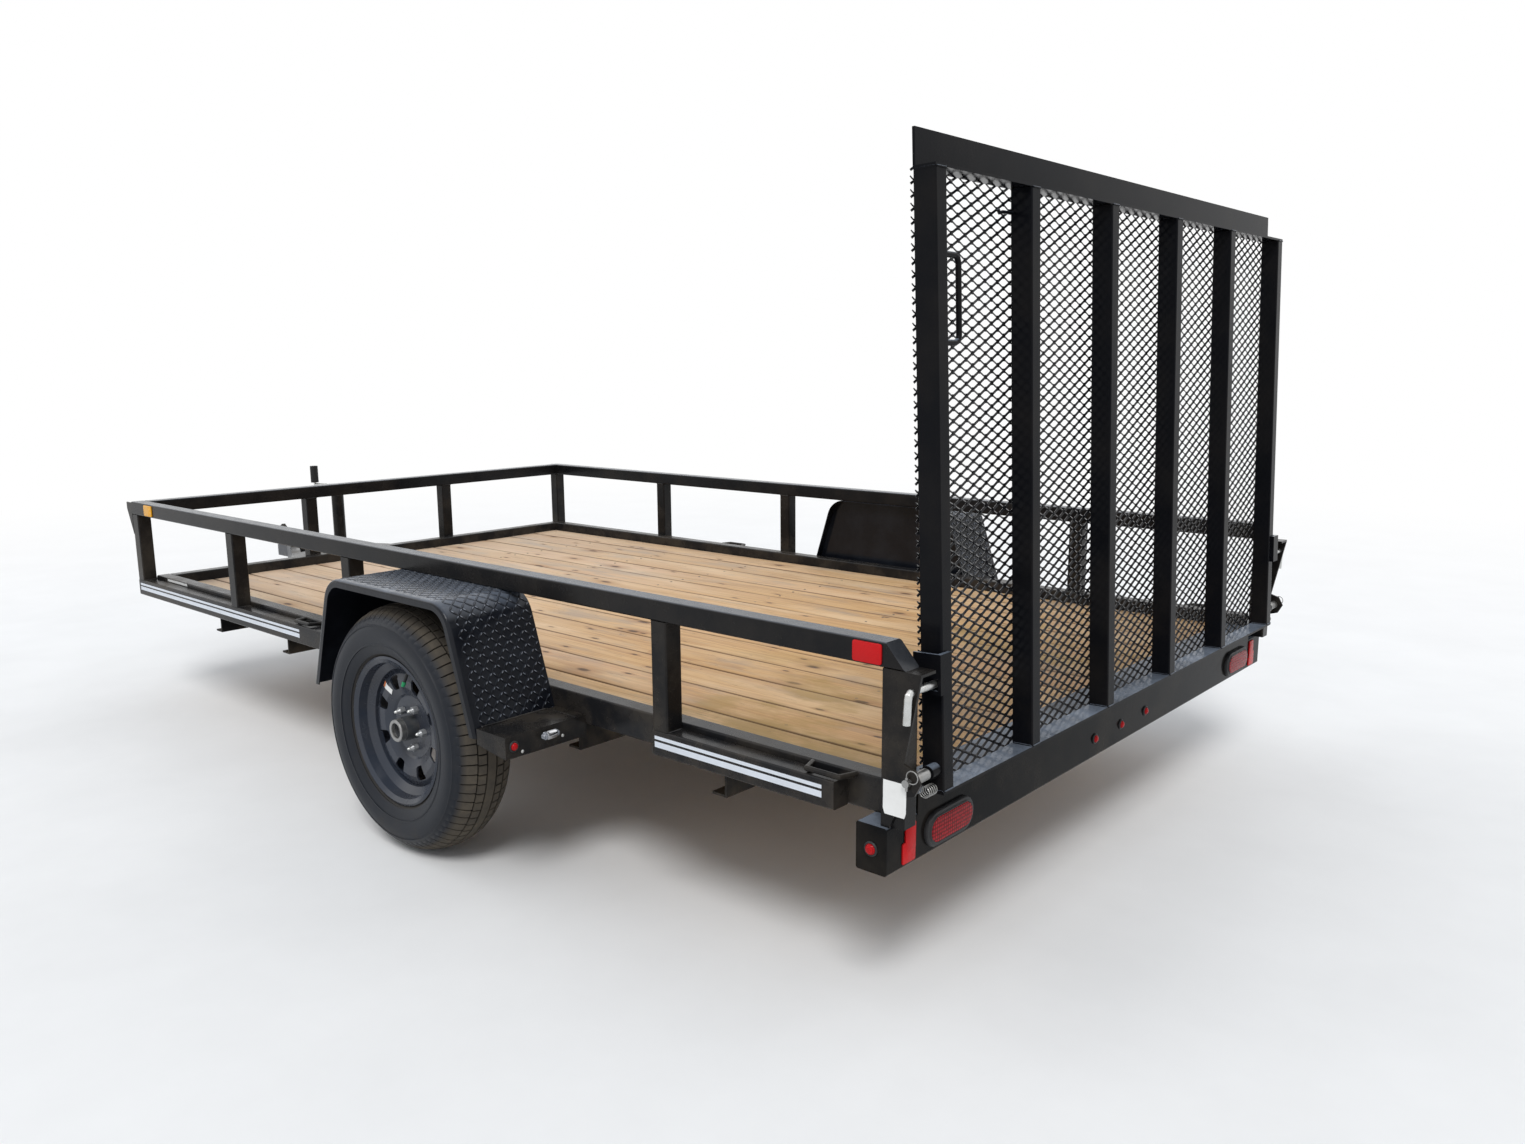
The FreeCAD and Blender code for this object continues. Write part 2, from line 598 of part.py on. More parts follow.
def springs():
    """Leaf packs with end eyes, seat pads and straps, one each side."""
    y0, y1 = SPRING_Y - SPRING_HALF_W, SPRING_Y + SPRING_HALF_W
    x0, x1 = AXLE_X - SEAT_HALF, AXLE_X + SEAT_HALF
    low = BEAM_Z + BEAM_R + SPRING_SEAT
    top = low + len(LEAVES) * LEAF_T
    seat = box(x0, x1, y0, y1, BEAM_Z, low + 0.5)
    body = seat.cut(rod((AXLE_X, 0, BEAM_Z), (AXLE_X, BEAM_HALF, BEAM_Z), BEAM_R))
    strap = box(x0, x1, y0, y1, top - 2, top + 8)
    body = body.fuse([strap] + [leaf(share, place) for share, place in LEAVES])
    for x in HANGERS_X:
        body = body.fuse(rod((x, y0, EYE_Z), (x, y1, EYE_Z), EYE_R))
        body = body.cut(rod((x, y0, EYE_Z), (x, y1, EYE_Z), EYE_PIN_R + PIN_FIT))
    return both(body.removeSplitter())


def spring_hangers():
    """Plates that hold the spring eyes under the side rails."""
    plates = []
    for x in HANGERS_X:
        for y0 in (FRAME_IN, FRAME_OUT - HANGER_T):
            outline = [(x - HANGER_HALF, y0, FRAME_LOW), (x + HANGER_HALF, y0, FRAME_LOW),
                       (x + 20, y0, EYE_Z - 20), (x - 20, y0, EYE_Z - 20)]
            plates.append(prism(outline, (0, HANGER_T, 0)))
        plates.append(rod((x, FRAME_IN, EYE_Z), (x, FRAME_OUT, EYE_Z), EYE_PIN_R))
    hanger = plates[0].fuse(plates[1:])
    return both(hanger)


def wall(share):
    """Radius at a share of the tyre's height over the rim."""
    return RIM_R + share * (TYRE_R - RIM_R)


def dish(share):
    """Radius at a share of the way from the rim's pad to its barrel."""
    return PAD_R + share * (DISC_R - PAD_R)


def tyre():
    """Tyre of the left wheel, its widest part halfway up the side and its tread left plain."""
    left = [(RIM_HALF - 8, RIM_R - 1.7), (TYRE_HALF, wall(0.52)), (TYRE_HALF - SHOULDER, TYRE_R)]
    right = [(-y, r) for y, r in reversed(left)]
    return [at_wheel(turned(left + right))]


def rim_window():
    """One window's tool, standing through the disc on the wheel's +X side."""
    low, high = dish(WINDOW_SHARES[0]), dish(WINDOW_SHARES[1])
    corners = [V(low, PAD_Y, -13), V(low, PAD_Y, 13), V(high, PAD_Y, 24), V(high, PAD_Y, -24),
               V(low, PAD_Y, -13)]
    window = Part.Face(Part.makePolygon(corners)).extrude(V(0, DISC_T + CROWN + 10, 0))
    return window.makeFillet(8.0, [e for e in window.Edges if abs(e.tangentAt(0).y) > 0.9])


def rim():
    """Steel rim with eight windows and a dished centre."""
    w = RIM_HALF
    outer = [(w - 3, RIM_R), (w - 8, RIM_R - 2), (w - 11, BEAD_R + 5), (w - 30, BEAD_R + 2),
             (w - 44, BEAD_R - 18), (-w + 44, BEAD_R - 18), (-w + 30, BEAD_R + 2), (-w + 11, BEAD_R + 5),
             (-w + 8, RIM_R - 2), (-w + 3, RIM_R)]
    inner = [(-w, RIM_R - 6), (-w + 8, BEAD_R), (-w + 32, BEAD_R - 4), (-w + 46, BEAD_R - 24),
             (w - 46, BEAD_R - 24), (w - 32, BEAD_R - 4), (w - 8, BEAD_R), (w, RIM_R - 6)]
    barrel = turned(outer + inner)
    bore = BARREL_R + 0.4
    face = PAD_Y + DISC_T
    crown = face + CROWN
    front = [(face + 5, DISC_R), (crown - 4, dish(0.80)), (crown, dish(0.62)), (crown - 2, dish(0.35)),
             (face + 5, dish(0.07)), (face, PAD_R), (face, bore)]
    back = [(PAD_Y, bore), (PAD_Y, PAD_R + 2), (PAD_Y + 4, dish(0.12)), (crown - 2 - DISC_T, dish(0.38)),
            (crown - DISC_T, dish(0.62)), (crown - 4 - DISC_T, dish(0.78)), (face - 2, DISC_R)]
    disc = turned(front + back)
    holes = []
    for i in range(8):
        hole = rim_window()
        hole.rotate(V(0, 0, 0), V(0, 1, 0), 22.5 + 45 * i)
        holes.append(hole)
    return [at_wheel(barrel.fuse(disc.cut(holes)).removeSplitter())]


def hub():
    """Hub with its flange, an open barrel with a sleeve and five cone-topped wheel nuts."""
    bore = SPINDLE_R + BEARING_GAP
    boss, sleeve, mouth = BARREL_R, CAP_R, CAP_MOUTH_R
    body = turned([(-34, bore), (-34, 38), (PAD_Y - 9, 44), (PAD_Y - 9, FLANGE_R), (PAD_Y, FLANGE_R),
                   (PAD_Y, boss), (BARREL_END - CAP_L, boss), (BARREL_END - CAP_L, sleeve),
                   (BARREL_END, sleeve), (BARREL_END, mouth), (BARREL_END - CAP_DEPTH, mouth),
                   (BARREL_END - CAP_DEPTH, bore)])
    parts = [body]
    seat = PAD_Y + DISC_T
    for i in range(5):
        a = math.radians(NUT_TURN + 72 * i)
        centre = V(LUG_PCD_R * math.cos(a), seat, LUG_PCD_R * math.sin(a))
        turns = [math.radians(60 * k) for k in range(7)]
        corners = [centre + V(NUT_R * math.cos(t), 0, NUT_R * math.sin(t)) for t in turns]
        nut = Part.Face(Part.makePolygon(corners)).extrude(V(0, 14, 0))
        tip = Part.makeCone(NUT_R - 1.6, 5.0, 8, centre + V(0, 14, 0), V(0, 1, 0))
        parts.append(nut.fuse(tip).removeSplitter())
    return [at_wheel(p) for p in parts]


def gate_bar(z0, z1, y):
    """Upright of the gate, its lower Y face given."""
    return tube_z(z0, z1, GATE_REAR, y, TUBE, GATE_BAR, GATE_BAR_R)


def gate_frame():
    """Outer uprights, foot bar and the top angle with its tall front edge."""
    lid = GATE_TOP - GATE_T
    side = gate_bar(GATE_FOOT, lid, GATE_HALF - GATE_BAR)
    foot = box(GATE_REAR, GATE_FRONT, -GATE_HALF, GATE_HALF, GATE_LOW, GATE_FOOT)
    top = box(GATE_REAR, GATE_FRONT, -GATE_HALF, GATE_HALF, lid, GATE_TOP)
    lip = box(GATE_FRONT - GATE_T, GATE_FRONT, -GATE_HALF, GATE_HALF, GATE_TOP, GATE_TOP + GATE_LIP)
    return [leaned(foot.fuse([top, lip] + both(side)).removeSplitter())]


def gate_uprights():
    """Upright tubes inside the gate frame."""
    pitch = (2 * GATE_HALF - GATE_BAR) / (UPRIGHTS - 1)
    pieces = []
    for i in range(1, UPRIGHTS - 1):
        y = -GATE_HALF + i * pitch + UPRIGHT_SHIFT
        pieces.append(leaned(gate_bar(GATE_FOOT, GATE_TOP - GATE_T, y)))
    return pieces


def mesh(sign, layer):
    """One of the two sets of slanting strands of the expanded mesh."""
    x0 = GATE_FRONT + layer * MESH_T
    half = GATE_HALF + 2
    low, high = GATE_LOW + 2, GATE_TOP - 2
    slope = MESH_SWD / MESH_LWD
    rise = 2 * half * slope
    thick = STRAND_W * math.sqrt(1 + slope * slope)
    count = int((high - low + rise) / MESH_SWD)
    strands = []
    for i in range(1, count):
        z = low - rise + i * MESH_SWD
        ya = -half + max(0.0, (low - z) / slope)
        yb = -half + min(2 * half, (high - thick - z) / slope)
        if yb - ya < 12:
            continue
        za, zb = z + (ya + half) * slope, z + (yb + half) * slope
        outline = [(x0, sign * ya, za), (x0, sign * yb, zb), (x0, sign * yb, zb + thick),
                   (x0, sign * ya, za + thick)]
        strands.append(leaned(prism(outline, (MESH_T, 0, 0))))
    return strands


def gate_handle():
    """Grab bar on the inner side of the left upright."""
    y0 = GATE_HALF - GATE_BAR
    y1 = y0 - HANDLE_REACH
    x = GATE_REAR + 12
    low, high, bend = HANDLE_LOW, HANDLE_TOP, HANDLE_BEND
    bar = bent_rod([(x, y0 + 8, low), (x, y1 + bend, low), (x, y1 + 4, low + 4), (x, y1, low + bend),
                    (x, y1, high - bend), (x, y1 + 4, high - 4), (x, y1 + bend, high), (x, y0 + 8, high)],
                   HANDLE_R)
    return [leaned(trimmed(bar, box(x - 20, x + 20, y0, y0 + 20, low - 20, high + 20)))]


def gate_ears():
    """Slotted latch ears and hinge bushes on the outer sides of the gate."""
    z0, z1 = LATCH_Z - 22, LATCH_Z + 60
    face = box(EAR_BACK, GATE_FRONT + 4, EAR_IN, EAR_OUT, z0, z1)
    web = box(EAR_BACK, GATE_REAR, GATE_HALF - 20, EAR_IN, z0, z1)
    slot_back = LATCH_X - LATCH_PIN_R - 9.5
    slot = box(slot_back, GATE_FRONT + 5, EAR_IN, EAR_OUT, LATCH_Z - 13.5, LATCH_Z + 10.5)
    ear = face.fuse(web).cut(slot)
    bush = rod((HINGE_X, GATE_HALF, HINGE_Z), (HINGE_X, BUSH_OUT, HINGE_Z), BUSH_R)
    bush = bush.cut(rod((HINGE_X, GATE_HALF, HINGE_Z), (HINGE_X, BUSH_OUT, HINGE_Z), BUSH_BORE))
    return [leaned(s) for s in both(ear.removeSplitter()) + both(bush)]


def hinge_pins():
    """Pins the gate turns on, with their collars."""
    pin = rod((HINGE_X, GATE_HALF + 2, HINGE_Z), (HINGE_X, HALF_WIDTH + 12, HINGE_Z), PIN_R)
    collar_in = BUSH_OUT + COLLAR_GAP
    collar = rod((HINGE_X, collar_in, HINGE_Z), (HINGE_X, HALF_WIDTH - WING_T, HINGE_Z), COLLAR_R)
    return both(pin.fuse(collar).removeSplitter())


def latch_pins():
    """Bent pins that hold the gate up."""
    end = HALF_WIDTH + 10
    return both(bent_rod([(LATCH_X, GATE_HALF + 6, LATCH_Z), (LATCH_X, end - 7, LATCH_Z),
                          (LATCH_X, end, LATCH_Z - 5), (LATCH_X, end + 2, LATCH_Z - 14),
                          (LATCH_X + 2, end + 3, LATCH_Z - LATCH_HANG)], LATCH_PIN_R))


def tie_loops():
    """Round bar loops on the side rails."""
    loops = []
    z = LEDGE + 9
    y = FRAME_OUT + LOOP_REACH
    for x in LOOP_X:
        x1 = x + LOOP_LENGTH
        bar = bent_rod([(x - 3, FRAME_OUT - 8, z), (x + LOOP_SLANT, y, z), (x1 - LOOP_SLANT, y, z),
                        (x1 + 3, FRAME_OUT - 8, z)], LOOP_R)
        loops += both(trimmed(bar, box(x - 30, x1 + 30, FRAME_OUT - 30, FRAME_OUT, z - 20, z + 20)))
    return loops


def tail_lamps():
    """Oval lamps set on the back of the header."""
    y, z, r = TAIL_LAMP_Y, HEADER_MID, TAIL_LAMP_R
    back = HEADER_REAR - LAMP_DEPTH
    lamp = box(back, HEADER_REAR, y - TAIL_LAMP_FLAT, y + TAIL_LAMP_FLAT, z - r, z + r)
    ends = [rod((back, at, z), (HEADER_REAR, at, z), r) for at in (y - TAIL_LAMP_FLAT, y + TAIL_LAMP_FLAT)]
    return both(lamp.fuse(ends).removeSplitter())


def clearance_lamps():
    """Small round lamps: three on the header, one on each end of it, one on each fender box."""
    r, d, z = MARKER_R, MARKER_DEPTH, HEADER_MID
    lamps = []
    for y in (-MARKER_PITCH, 0.0, MARKER_PITCH):
        lamps.append(rod((HEADER_REAR - d, y, z), (HEADER_REAR, y, z), r))
    x = HEADER_REAR + HEADER_D / 2
    lamps += both(rod((x, HEADER_HALF, z), (x, HEADER_HALF + d, z), r + 2))
    y, z = FENDER_OUT - 30, FENDER_LOW
    lamps += both(rod((LAMP_BOX_REAR - d, y, z), (LAMP_BOX_REAR, y, z), r))
    return lamps


def licence_lamp():
    """Plate lamp on the left fender box."""
    return [box(LAMP_BOX_REAR - 26, LAMP_BOX_REAR, FENDER_OUT - 159, FENDER_OUT - 107, FENDER_LOW - 4,
                FENDER_LOW + 18)]


def rail_reflector(x):
    """Plate on the outer face of the left top rail, its back end given."""
    z = RAIL_LOW + TUBE / 2
    return box(x, x + REFLECTOR_L, HALF_WIDTH, HALF_WIDTH + REFLECTOR_T, z - REFLECTOR_H / 2,
               z + REFLECTOR_H / 2)


def red_reflectors():
    """Plates on the header and at the back of the rails."""
    back = box(HEADER_REAR - REFLECTOR_T, HEADER_REAR, REAR_REFLECTOR_Y, REAR_REFLECTOR_Y + REAR_REFLECTOR_W,
               HEADER_LOW + 8, HEADER_TOP - 10)
    return both(rail_reflector(REFLECTOR_X[0])) + both(back)


def amber_reflectors():
    """Plates at the front of the rails."""
    return both(rail_reflector(REFLECTOR_X[1]))


def wheel_pair(name, pieces):
    """Left-hand wheel pieces and their mirror images under two names."""
    return {name + "_left": pieces, name + "_right": [other_side(p) for p in pieces]}


NODES = {
    "main_frame": main_frame(),
    "rub_rail": rub_rail(),
    "top_rail": top_rail(),
    "posts_left": side_posts(1),
    "posts_right": side_posts(-1),
    "posts_front": front_posts(),
    "front_gussets": front_gussets(),
    "latch_post_left": latch_post(),
    "latch_post_right": [other_side(p) for p in latch_post()],
    "rear_header": rear_header(),
    "cross_members": cross_members(),
    "deck_boards": deck_boards(),
    "tongue": tongue(),
    "coupler": coupler(),
    "coupler_latch": coupler_latch(),
    "jack_housing": jack_housing(),
    "jack_crank": jack_crank(),
    "jack_grip": jack_grip(),
    "jack_leg": jack_leg(),
    "fender_left": fender(),
    "fender_right": [other_side(p) for p in fender()],
    "fender_boxes": fender_boxes(),
    "axle_beam": axle_beam(),
    "springs": springs(),
    "spring_hangers": spring_hangers(),
    "gate_frame": gate_frame(),
    "gate_uprights": gate_uprights(),
    "gate_mesh_rising": mesh(1, 0),
    "gate_mesh_falling": mesh(-1, 1),
    "gate_handle": gate_handle(),
    "gate_ears": gate_ears(),
    "hinge_pins": hinge_pins(),
    "latch_pins": latch_pins(),
    "tie_loops": tie_loops(),
    "tail_lamps": tail_lamps(),
    "clearance_lamps": clearance_lamps(),
    "licence_lamp": licence_lamp(),
    "red_reflectors": red_reflectors(),
    "amber_reflectors": amber_reflectors(),
}
NODES.update(wheel_pair("tyre", tyre()))
NODES.update(wheel_pair("rim", rim()))
NODES.update(wheel_pair("hub", hub()))

every = Part.makeCompound([s for pieces in NODES.values() for s in pieces])
span = every.BoundBox
centre_x = (span.XMin + span.XMax) / 2
for node, pieces in NODES.items():
    shape = pieces[0] if len(pieces) == 1 else Part.makeCompound(pieces)
    shape.translate(V(-centre_x, 0, 0))
    shape.exportStep("parts/" + node + ".step")
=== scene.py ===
import logging
import math
import random
from dataclasses import dataclass, field
from enum import Enum
from typing import Callable, Iterable, Sequence

import bmesh
import bpy
from mathutils import Matrix, Vector


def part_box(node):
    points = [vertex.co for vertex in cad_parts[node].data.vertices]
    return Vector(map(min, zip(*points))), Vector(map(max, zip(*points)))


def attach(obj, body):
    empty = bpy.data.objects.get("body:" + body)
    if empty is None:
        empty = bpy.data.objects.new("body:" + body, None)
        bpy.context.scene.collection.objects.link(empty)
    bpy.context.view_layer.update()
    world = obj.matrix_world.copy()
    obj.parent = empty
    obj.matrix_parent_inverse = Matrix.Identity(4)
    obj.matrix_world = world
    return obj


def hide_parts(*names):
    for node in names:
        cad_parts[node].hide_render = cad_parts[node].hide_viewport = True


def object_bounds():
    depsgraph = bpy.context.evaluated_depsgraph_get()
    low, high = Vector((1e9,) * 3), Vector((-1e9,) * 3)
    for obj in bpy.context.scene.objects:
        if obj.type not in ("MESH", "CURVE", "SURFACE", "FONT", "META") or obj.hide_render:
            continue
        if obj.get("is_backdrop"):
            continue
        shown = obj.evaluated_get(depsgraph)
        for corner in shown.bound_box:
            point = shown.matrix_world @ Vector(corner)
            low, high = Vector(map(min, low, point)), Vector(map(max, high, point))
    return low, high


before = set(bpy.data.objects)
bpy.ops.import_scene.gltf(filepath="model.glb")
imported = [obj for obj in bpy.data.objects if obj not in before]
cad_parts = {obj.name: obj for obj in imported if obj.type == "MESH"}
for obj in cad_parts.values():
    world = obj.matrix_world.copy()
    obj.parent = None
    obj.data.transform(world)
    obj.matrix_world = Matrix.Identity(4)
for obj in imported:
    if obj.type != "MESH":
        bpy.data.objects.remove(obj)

log = logging.getLogger("trailer")

Point = tuple[float, float, float]
Pair = tuple[float, float]

# Sizes are in millimetres: X forward from the back end of the top rails, Y left, Z up from the ground.
DECK_LENGTH = 3658.0
SHIFT = DECK_LENGTH - 1000.0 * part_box("posts_front")[1].x
HALF_WIDTH = 1000.0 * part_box("top_rail")[1].y
TUBE = 50.8
FRAME_OUT = HALF_WIDTH - TUBE
FRAME_IN = FRAME_OUT - TUBE
BOARD_COUNT = 13
BOARD_GAP = 4.0
HINGE_X, HINGE_Z, GATE_LEAN = -58.0, 522.0, 2.3
TYRE_R = 344.0
WHEEL = (1488.0, 1189.0, TYRE_R)  # middle of the left wheel, standing on the ground


class Body(Enum):
    """The bodies that carry pieces made here."""

    CHASSIS = "chassis"
    LEFT = "wheel_left"
    RIGHT = "wheel_right"
    GATE = "gate"


class Side(Enum):
    """Left and right of the trailer, as the sign of Y."""

    LEFT = 1
    RIGHT = -1

    @property
    def wheel(self) -> Body:
        """The wheel body of this side."""
        return Body.LEFT if self is Side.LEFT else Body.RIGHT


def to_row(p: Sequence[float]) -> Vector:
    """A drawing point in the library's frame, in metres."""
    return Vector(((p[0] - SHIFT) / 1000.0, p[1] / 1000.0, p[2] / 1000.0))


def lean(p: Sequence[float]) -> Point:
    """Tip a gate point forward about the hinge pins.

    Args:
        p: the point on an upright gate.

    Returns:
        The point on the leaning gate.
    """
    cos, sin = math.cos(math.radians(GATE_LEAN)), math.sin(math.radians(GATE_LEAN))
    dx, dz = p[0] - HINGE_X, p[2] - HINGE_Z
    return (HINGE_X + dx * cos + dz * sin, p[1], HINGE_Z - dx * sin + dz * cos)


def mirror(p: Sequence[float]) -> Point:
    """The same point on the other side of the trailer."""
    return (p[0], -p[1], p[2])


# Finishes


class Shade:
    """Builds one node material step by step."""

    def __init__(self, name: str) -> None:
        """Start an empty material with a shader and an output.

        Args:
            name: the material's name.
        """
        self.material = bpy.data.materials.new(name)
        self.material.use_nodes = True
        self.tree = self.material.node_tree
        self.shader = self.tree.nodes["Principled BSDF"]
        coords = self.tree.nodes.new("ShaderNodeTexCoord")
        self.place = coords.outputs["Object"]
        self.facing = coords.outputs["Normal"]

    def node(self, kind: str, **values: object) -> bpy.types.Node:
        """Add a node and set its properties.

        Args:
            kind: the node's type after ShaderNode.
            values: node properties by name.

        Returns:
            The new node.
        """
        made = self.tree.nodes.new("ShaderNode" + kind)
        for key, value in values.items():
            setattr(made, key, value)
        return made

    def feed(self, socket: bpy.types.NodeSocket, value: object) -> None:
        """Link a socket to an output, or set its plain value.

        Args:
            socket: the input socket.
            value: an output, a colour or a number.
        """
        if isinstance(value, bpy.types.NodeSocket):
            self.tree.links.new(value, socket)
        elif isinstance(value, tuple) and socket.type == "RGBA":
            socket.default_value = (*value, 1.0) if len(value) == 3 else value
        else:
            socket.default_value = value

    def stretch(self, sizes: Point, shift: object = None) -> bpy.types.NodeSocket:
        """Object coordinates scaled along each axis.

        Args:
            sizes: the scale on X, Y and Z, per metre.
            shift: an output added after scaling, or None.

        Returns:
            The scaled coordinates.
        """
        scaled = self.node("VectorMath", operation="MULTIPLY")
        self.feed(scaled.inputs[0], self.place)
        scaled.inputs[1].default_value = sizes
        if shift is None:
            return scaled.outputs[0]
        moved = self.node("VectorMath", operation="ADD")
        self.feed(moved.inputs[0], scaled.outputs[0])
        self.feed(moved.inputs[1], shift)
        return moved.outputs[0]

    def noise(self, scale: float, detail: float = 3.0, rough: float = 0.5, at: object = None,
              warp: float = 0.0) -> bpy.types.NodeSocket:
        """Cloudy value between 0 and 1.

        Args:
            scale: cells per unit of the coordinates.
            detail: octaves.
            rough: weight of the fine octaves.
            at: coordinates, the object's own if None.
            warp: distortion.

        Returns:
            The value output.
        """
        made = self.node("TexNoise")
        self.feed(made.inputs["Vector"], self.place if at is None else at)
        for key, value in (("Scale", scale), ("Detail", detail), ("Roughness", rough), ("Distortion", warp)):
            made.inputs[key].default_value = value
        return made.outputs["Fac"]

    def cells(self, scale: float, at: object = None, loose: float = 1.0, output: str = "Distance",
              flat: bool = False) -> bpy.types.NodeSocket:
        """Distance to scattered points, or their colour.

        Args:
            scale: points per unit of the coordinates.
            at: coordinates, the object's own if None.
            loose: how far the points stray from a grid.
            output: the output's name.
            flat: whether only X and Y count.

        Returns:
            The output.
        """
        made = self.node("TexVoronoi", voronoi_dimensions="2D" if flat else "3D")
        self.feed(made.inputs["Vector"], self.place if at is None else at)
        made.inputs["Scale"].default_value = scale
        made.inputs["Randomness"].default_value = loose
        return made.outputs[output]

    def step(self, value: object, low: float, high: float, to: Pair = (0.0, 1.0)) -> bpy.types.NodeSocket:
        """Ramp from low to high, held at both ends.

        Args:
            value: the input.
            low: where the ramp starts.
            high: where the ramp ends.
            to: the values at the two ends.

        Returns:
            The value output.
        """
        made = self.node("MapRange", clamp=True)
        self.feed(made.inputs["Value"], value)
        for key, number in (("From Min", low), ("From Max", high), ("To Min", to[0]), ("To Max", to[1])):
            made.inputs[key].default_value = number
        return made.outputs[0]

    def maths(self, operation: str, a: object, b: object = 0.0) -> bpy.types.NodeSocket:
        """Arithmetic on two values.

        Args:
            operation: the Math node's operation.
            a: the first value.
            b: the second value.

        Returns:
            The value output.
        """
        made = self.node("Math", operation=operation)
        self.feed(made.inputs[0], a)
        self.feed(made.inputs[1], b)
        return made.outputs[0]

    def times(self, a: object, b: object) -> bpy.types.NodeSocket:
        """The product of two values."""
        return self.maths("MULTIPLY", a, b)

    def plus(self, a: object, b: object) -> bpy.types.NodeSocket:
        """The sum of two values."""
        return self.maths("ADD", a, b)

    def minus(self, a: object, b: object) -> bpy.types.NodeSocket:
        """The first value less the second."""
        return self.maths("SUBTRACT", a, b)

    def reach(self, centre: Pair) -> bpy.types.NodeSocket:
        """Distance from a line along Y.

        Args:
            centre: the line's X and Z, in metres.

        Returns:
            The distance, in metres.
        """
        dx = self.minus(self.axis(self.place, "X"), centre[0])
        dz = self.minus(self.axis(self.place, "Z"), centre[1])
        return self.maths("SQRT", self.plus(self.times(dx, dx), self.times(dz, dz)))

    def blend(self, share: object, a: object, b: object) -> bpy.types.NodeSocket:
        """Colour between two others.

        Args:
            share: how much of the second colour there is.
            a: the first colour.
            b: the second colour.

        Returns:
            The colour output.
        """
        made = self.node("Mix", data_type="RGBA")
        self.feed(made.inputs[0], share)
        self.feed(made.inputs[6], a)
        self.feed(made.inputs[7], b)
        return made.outputs[2]

    def axis(self, vector: object, name: str) -> bpy.types.NodeSocket:
        """One component of a vector.

        Args:
            vector: the vector output.
            name: X, Y or Z.

        Returns:
            The component.
        """
        made = self.node("SeparateXYZ")
        self.feed(made.inputs[0], vector)
        return made.outputs[name]

    def relief(self, height: object, deep: float, strength: float = 1.0,
               under: object = None) -> bpy.types.NodeSocket:
        """Bump from a height value.

        Args:
            height: the height input.
            deep: metres for a height of one.
            strength: share of the effect.
            under: a bump to add to, or None.

        Returns:
            The normal output.
        """
        made = self.node("Bump")
        made.inputs["Strength"].default_value = strength
        made.inputs["Distance"].default_value = deep
        self.feed(made.inputs["Height"], height)
        if under is not None:
            self.feed(made.inputs["Normal"], under)
        return made.outputs["Normal"]

    def dress(self, **values: object) -> bpy.types.Material:
        """Set the shader's sockets by name, spaces written as underscores.

        Args:
            values: plain values or outputs.

        Returns:
            The finished material.
        """
        for key, value in values.items():
            self.feed(self.shader.inputs[key.replace("_", " ")], value)
        return self.material


@dataclass(frozen=True)
class Finish:
    """A finish with its slot in the record.

    Attributes:
        name: the material's name.
        slot: the record's slot; not used.
    """

    name: str
    slot: str

    def make(self) -> bpy.types.Material:
        """The finish as a material, made once."""
        kept = bpy.data.materials.get(self.name)
        return kept if kept else self.mix(Shade(self.name))

    def mix(self, shade: Shade) -> bpy.types.Material:
        """Lay the finish on an empty material."""
        return shade.dress()


@dataclass(frozen=True)
class PowderCoat(Finish):
    """Sprayed and baked paint with orange peel, road dust, dried rain droplets and a painted sky reflection
    on the top faces.

    Attributes:
        colour: the paint.
        rough: its roughness.
        dust: share of dust on upright faces.
        rain_beads_and_sheen: whether rain droplets stand on the top faces, which then also get a painted sky
            reflection.
        shine: level of the mirror reflection.
        wet: colour of the painted sky reflection on the top faces.
    """

    colour: Point = (0.0062, 0.0063, 0.0072)
    rough: float = 0.20
    dust: float = 0.08
    rain_beads_and_sheen: bool = False
    shine: float = 0.14
    wet: Point = (0.13, 0.145, 0.17)

    def mix(self, shade: Shade) -> bpy.types.Material:
        """Paint, then dust in the hollows, then droplets and a painted sky reflection on what faces up.

        Args:
            shade: the empty material.

        Returns:
            The finished material.
        """
        up = shade.step(shade.axis(shade.facing, "Z"), 0.55, 0.9)
        cloud = shade.noise(7.0, 5.0, 0.6)
        speck = shade.step(shade.noise(420.0, 2.0, 0.5), 0.60, 0.74)
        film = shade.times(shade.step(cloud, 0.42, 0.72), self.dust * 2.2)
        film = shade.plus(film, shade.times(speck, self.dust * 0.9))
        low = shade.step(shade.axis(shade.place, "Z"), 0.75, 0.30, (0.6, 1.5))
        film = shade.times(film, low)
        base = shade.blend(film, self.colour, (0.105, 0.085, 0.062))
        peel = shade.noise(170.0, 2.0, 0.45)
        gloss = shade.step(shade.noise(34.0, 3.0), 0.3, 0.7, (self.rough - 0.04, self.rough + 0.06))
        rough = shade.plus(shade.times(film, 0.5), gloss)
        normal = shade.relief(peel, 0.0003, 0.35)
        if self.rain_beads_and_sheen:
            size = shade.cells(150.0)
            picked = shade.step(shade.axis(shade.cells(150.0, output="Color"), "X"), 0.45, 0.5)
            bead = shade.times(shade.times(shade.step(size, 0.34, 0.16), picked), up)
            normal = shade.relief(bead, 0.0011, 0.8, normal)
            rough = shade.minus(rough, shade.times(bead, 0.2))
            # Painted sky reflection: upward faces blend towards the pale sheen colour.
            grey = shade.times(up, shade.step(cloud, 0.3, 0.7, (0.25, 0.75)))
            base = shade.blend(grey, base, self.wet)
        return shade.dress(Base_Color=base, Roughness=rough, Normal=normal, Specular_IOR_Level=self.shine)


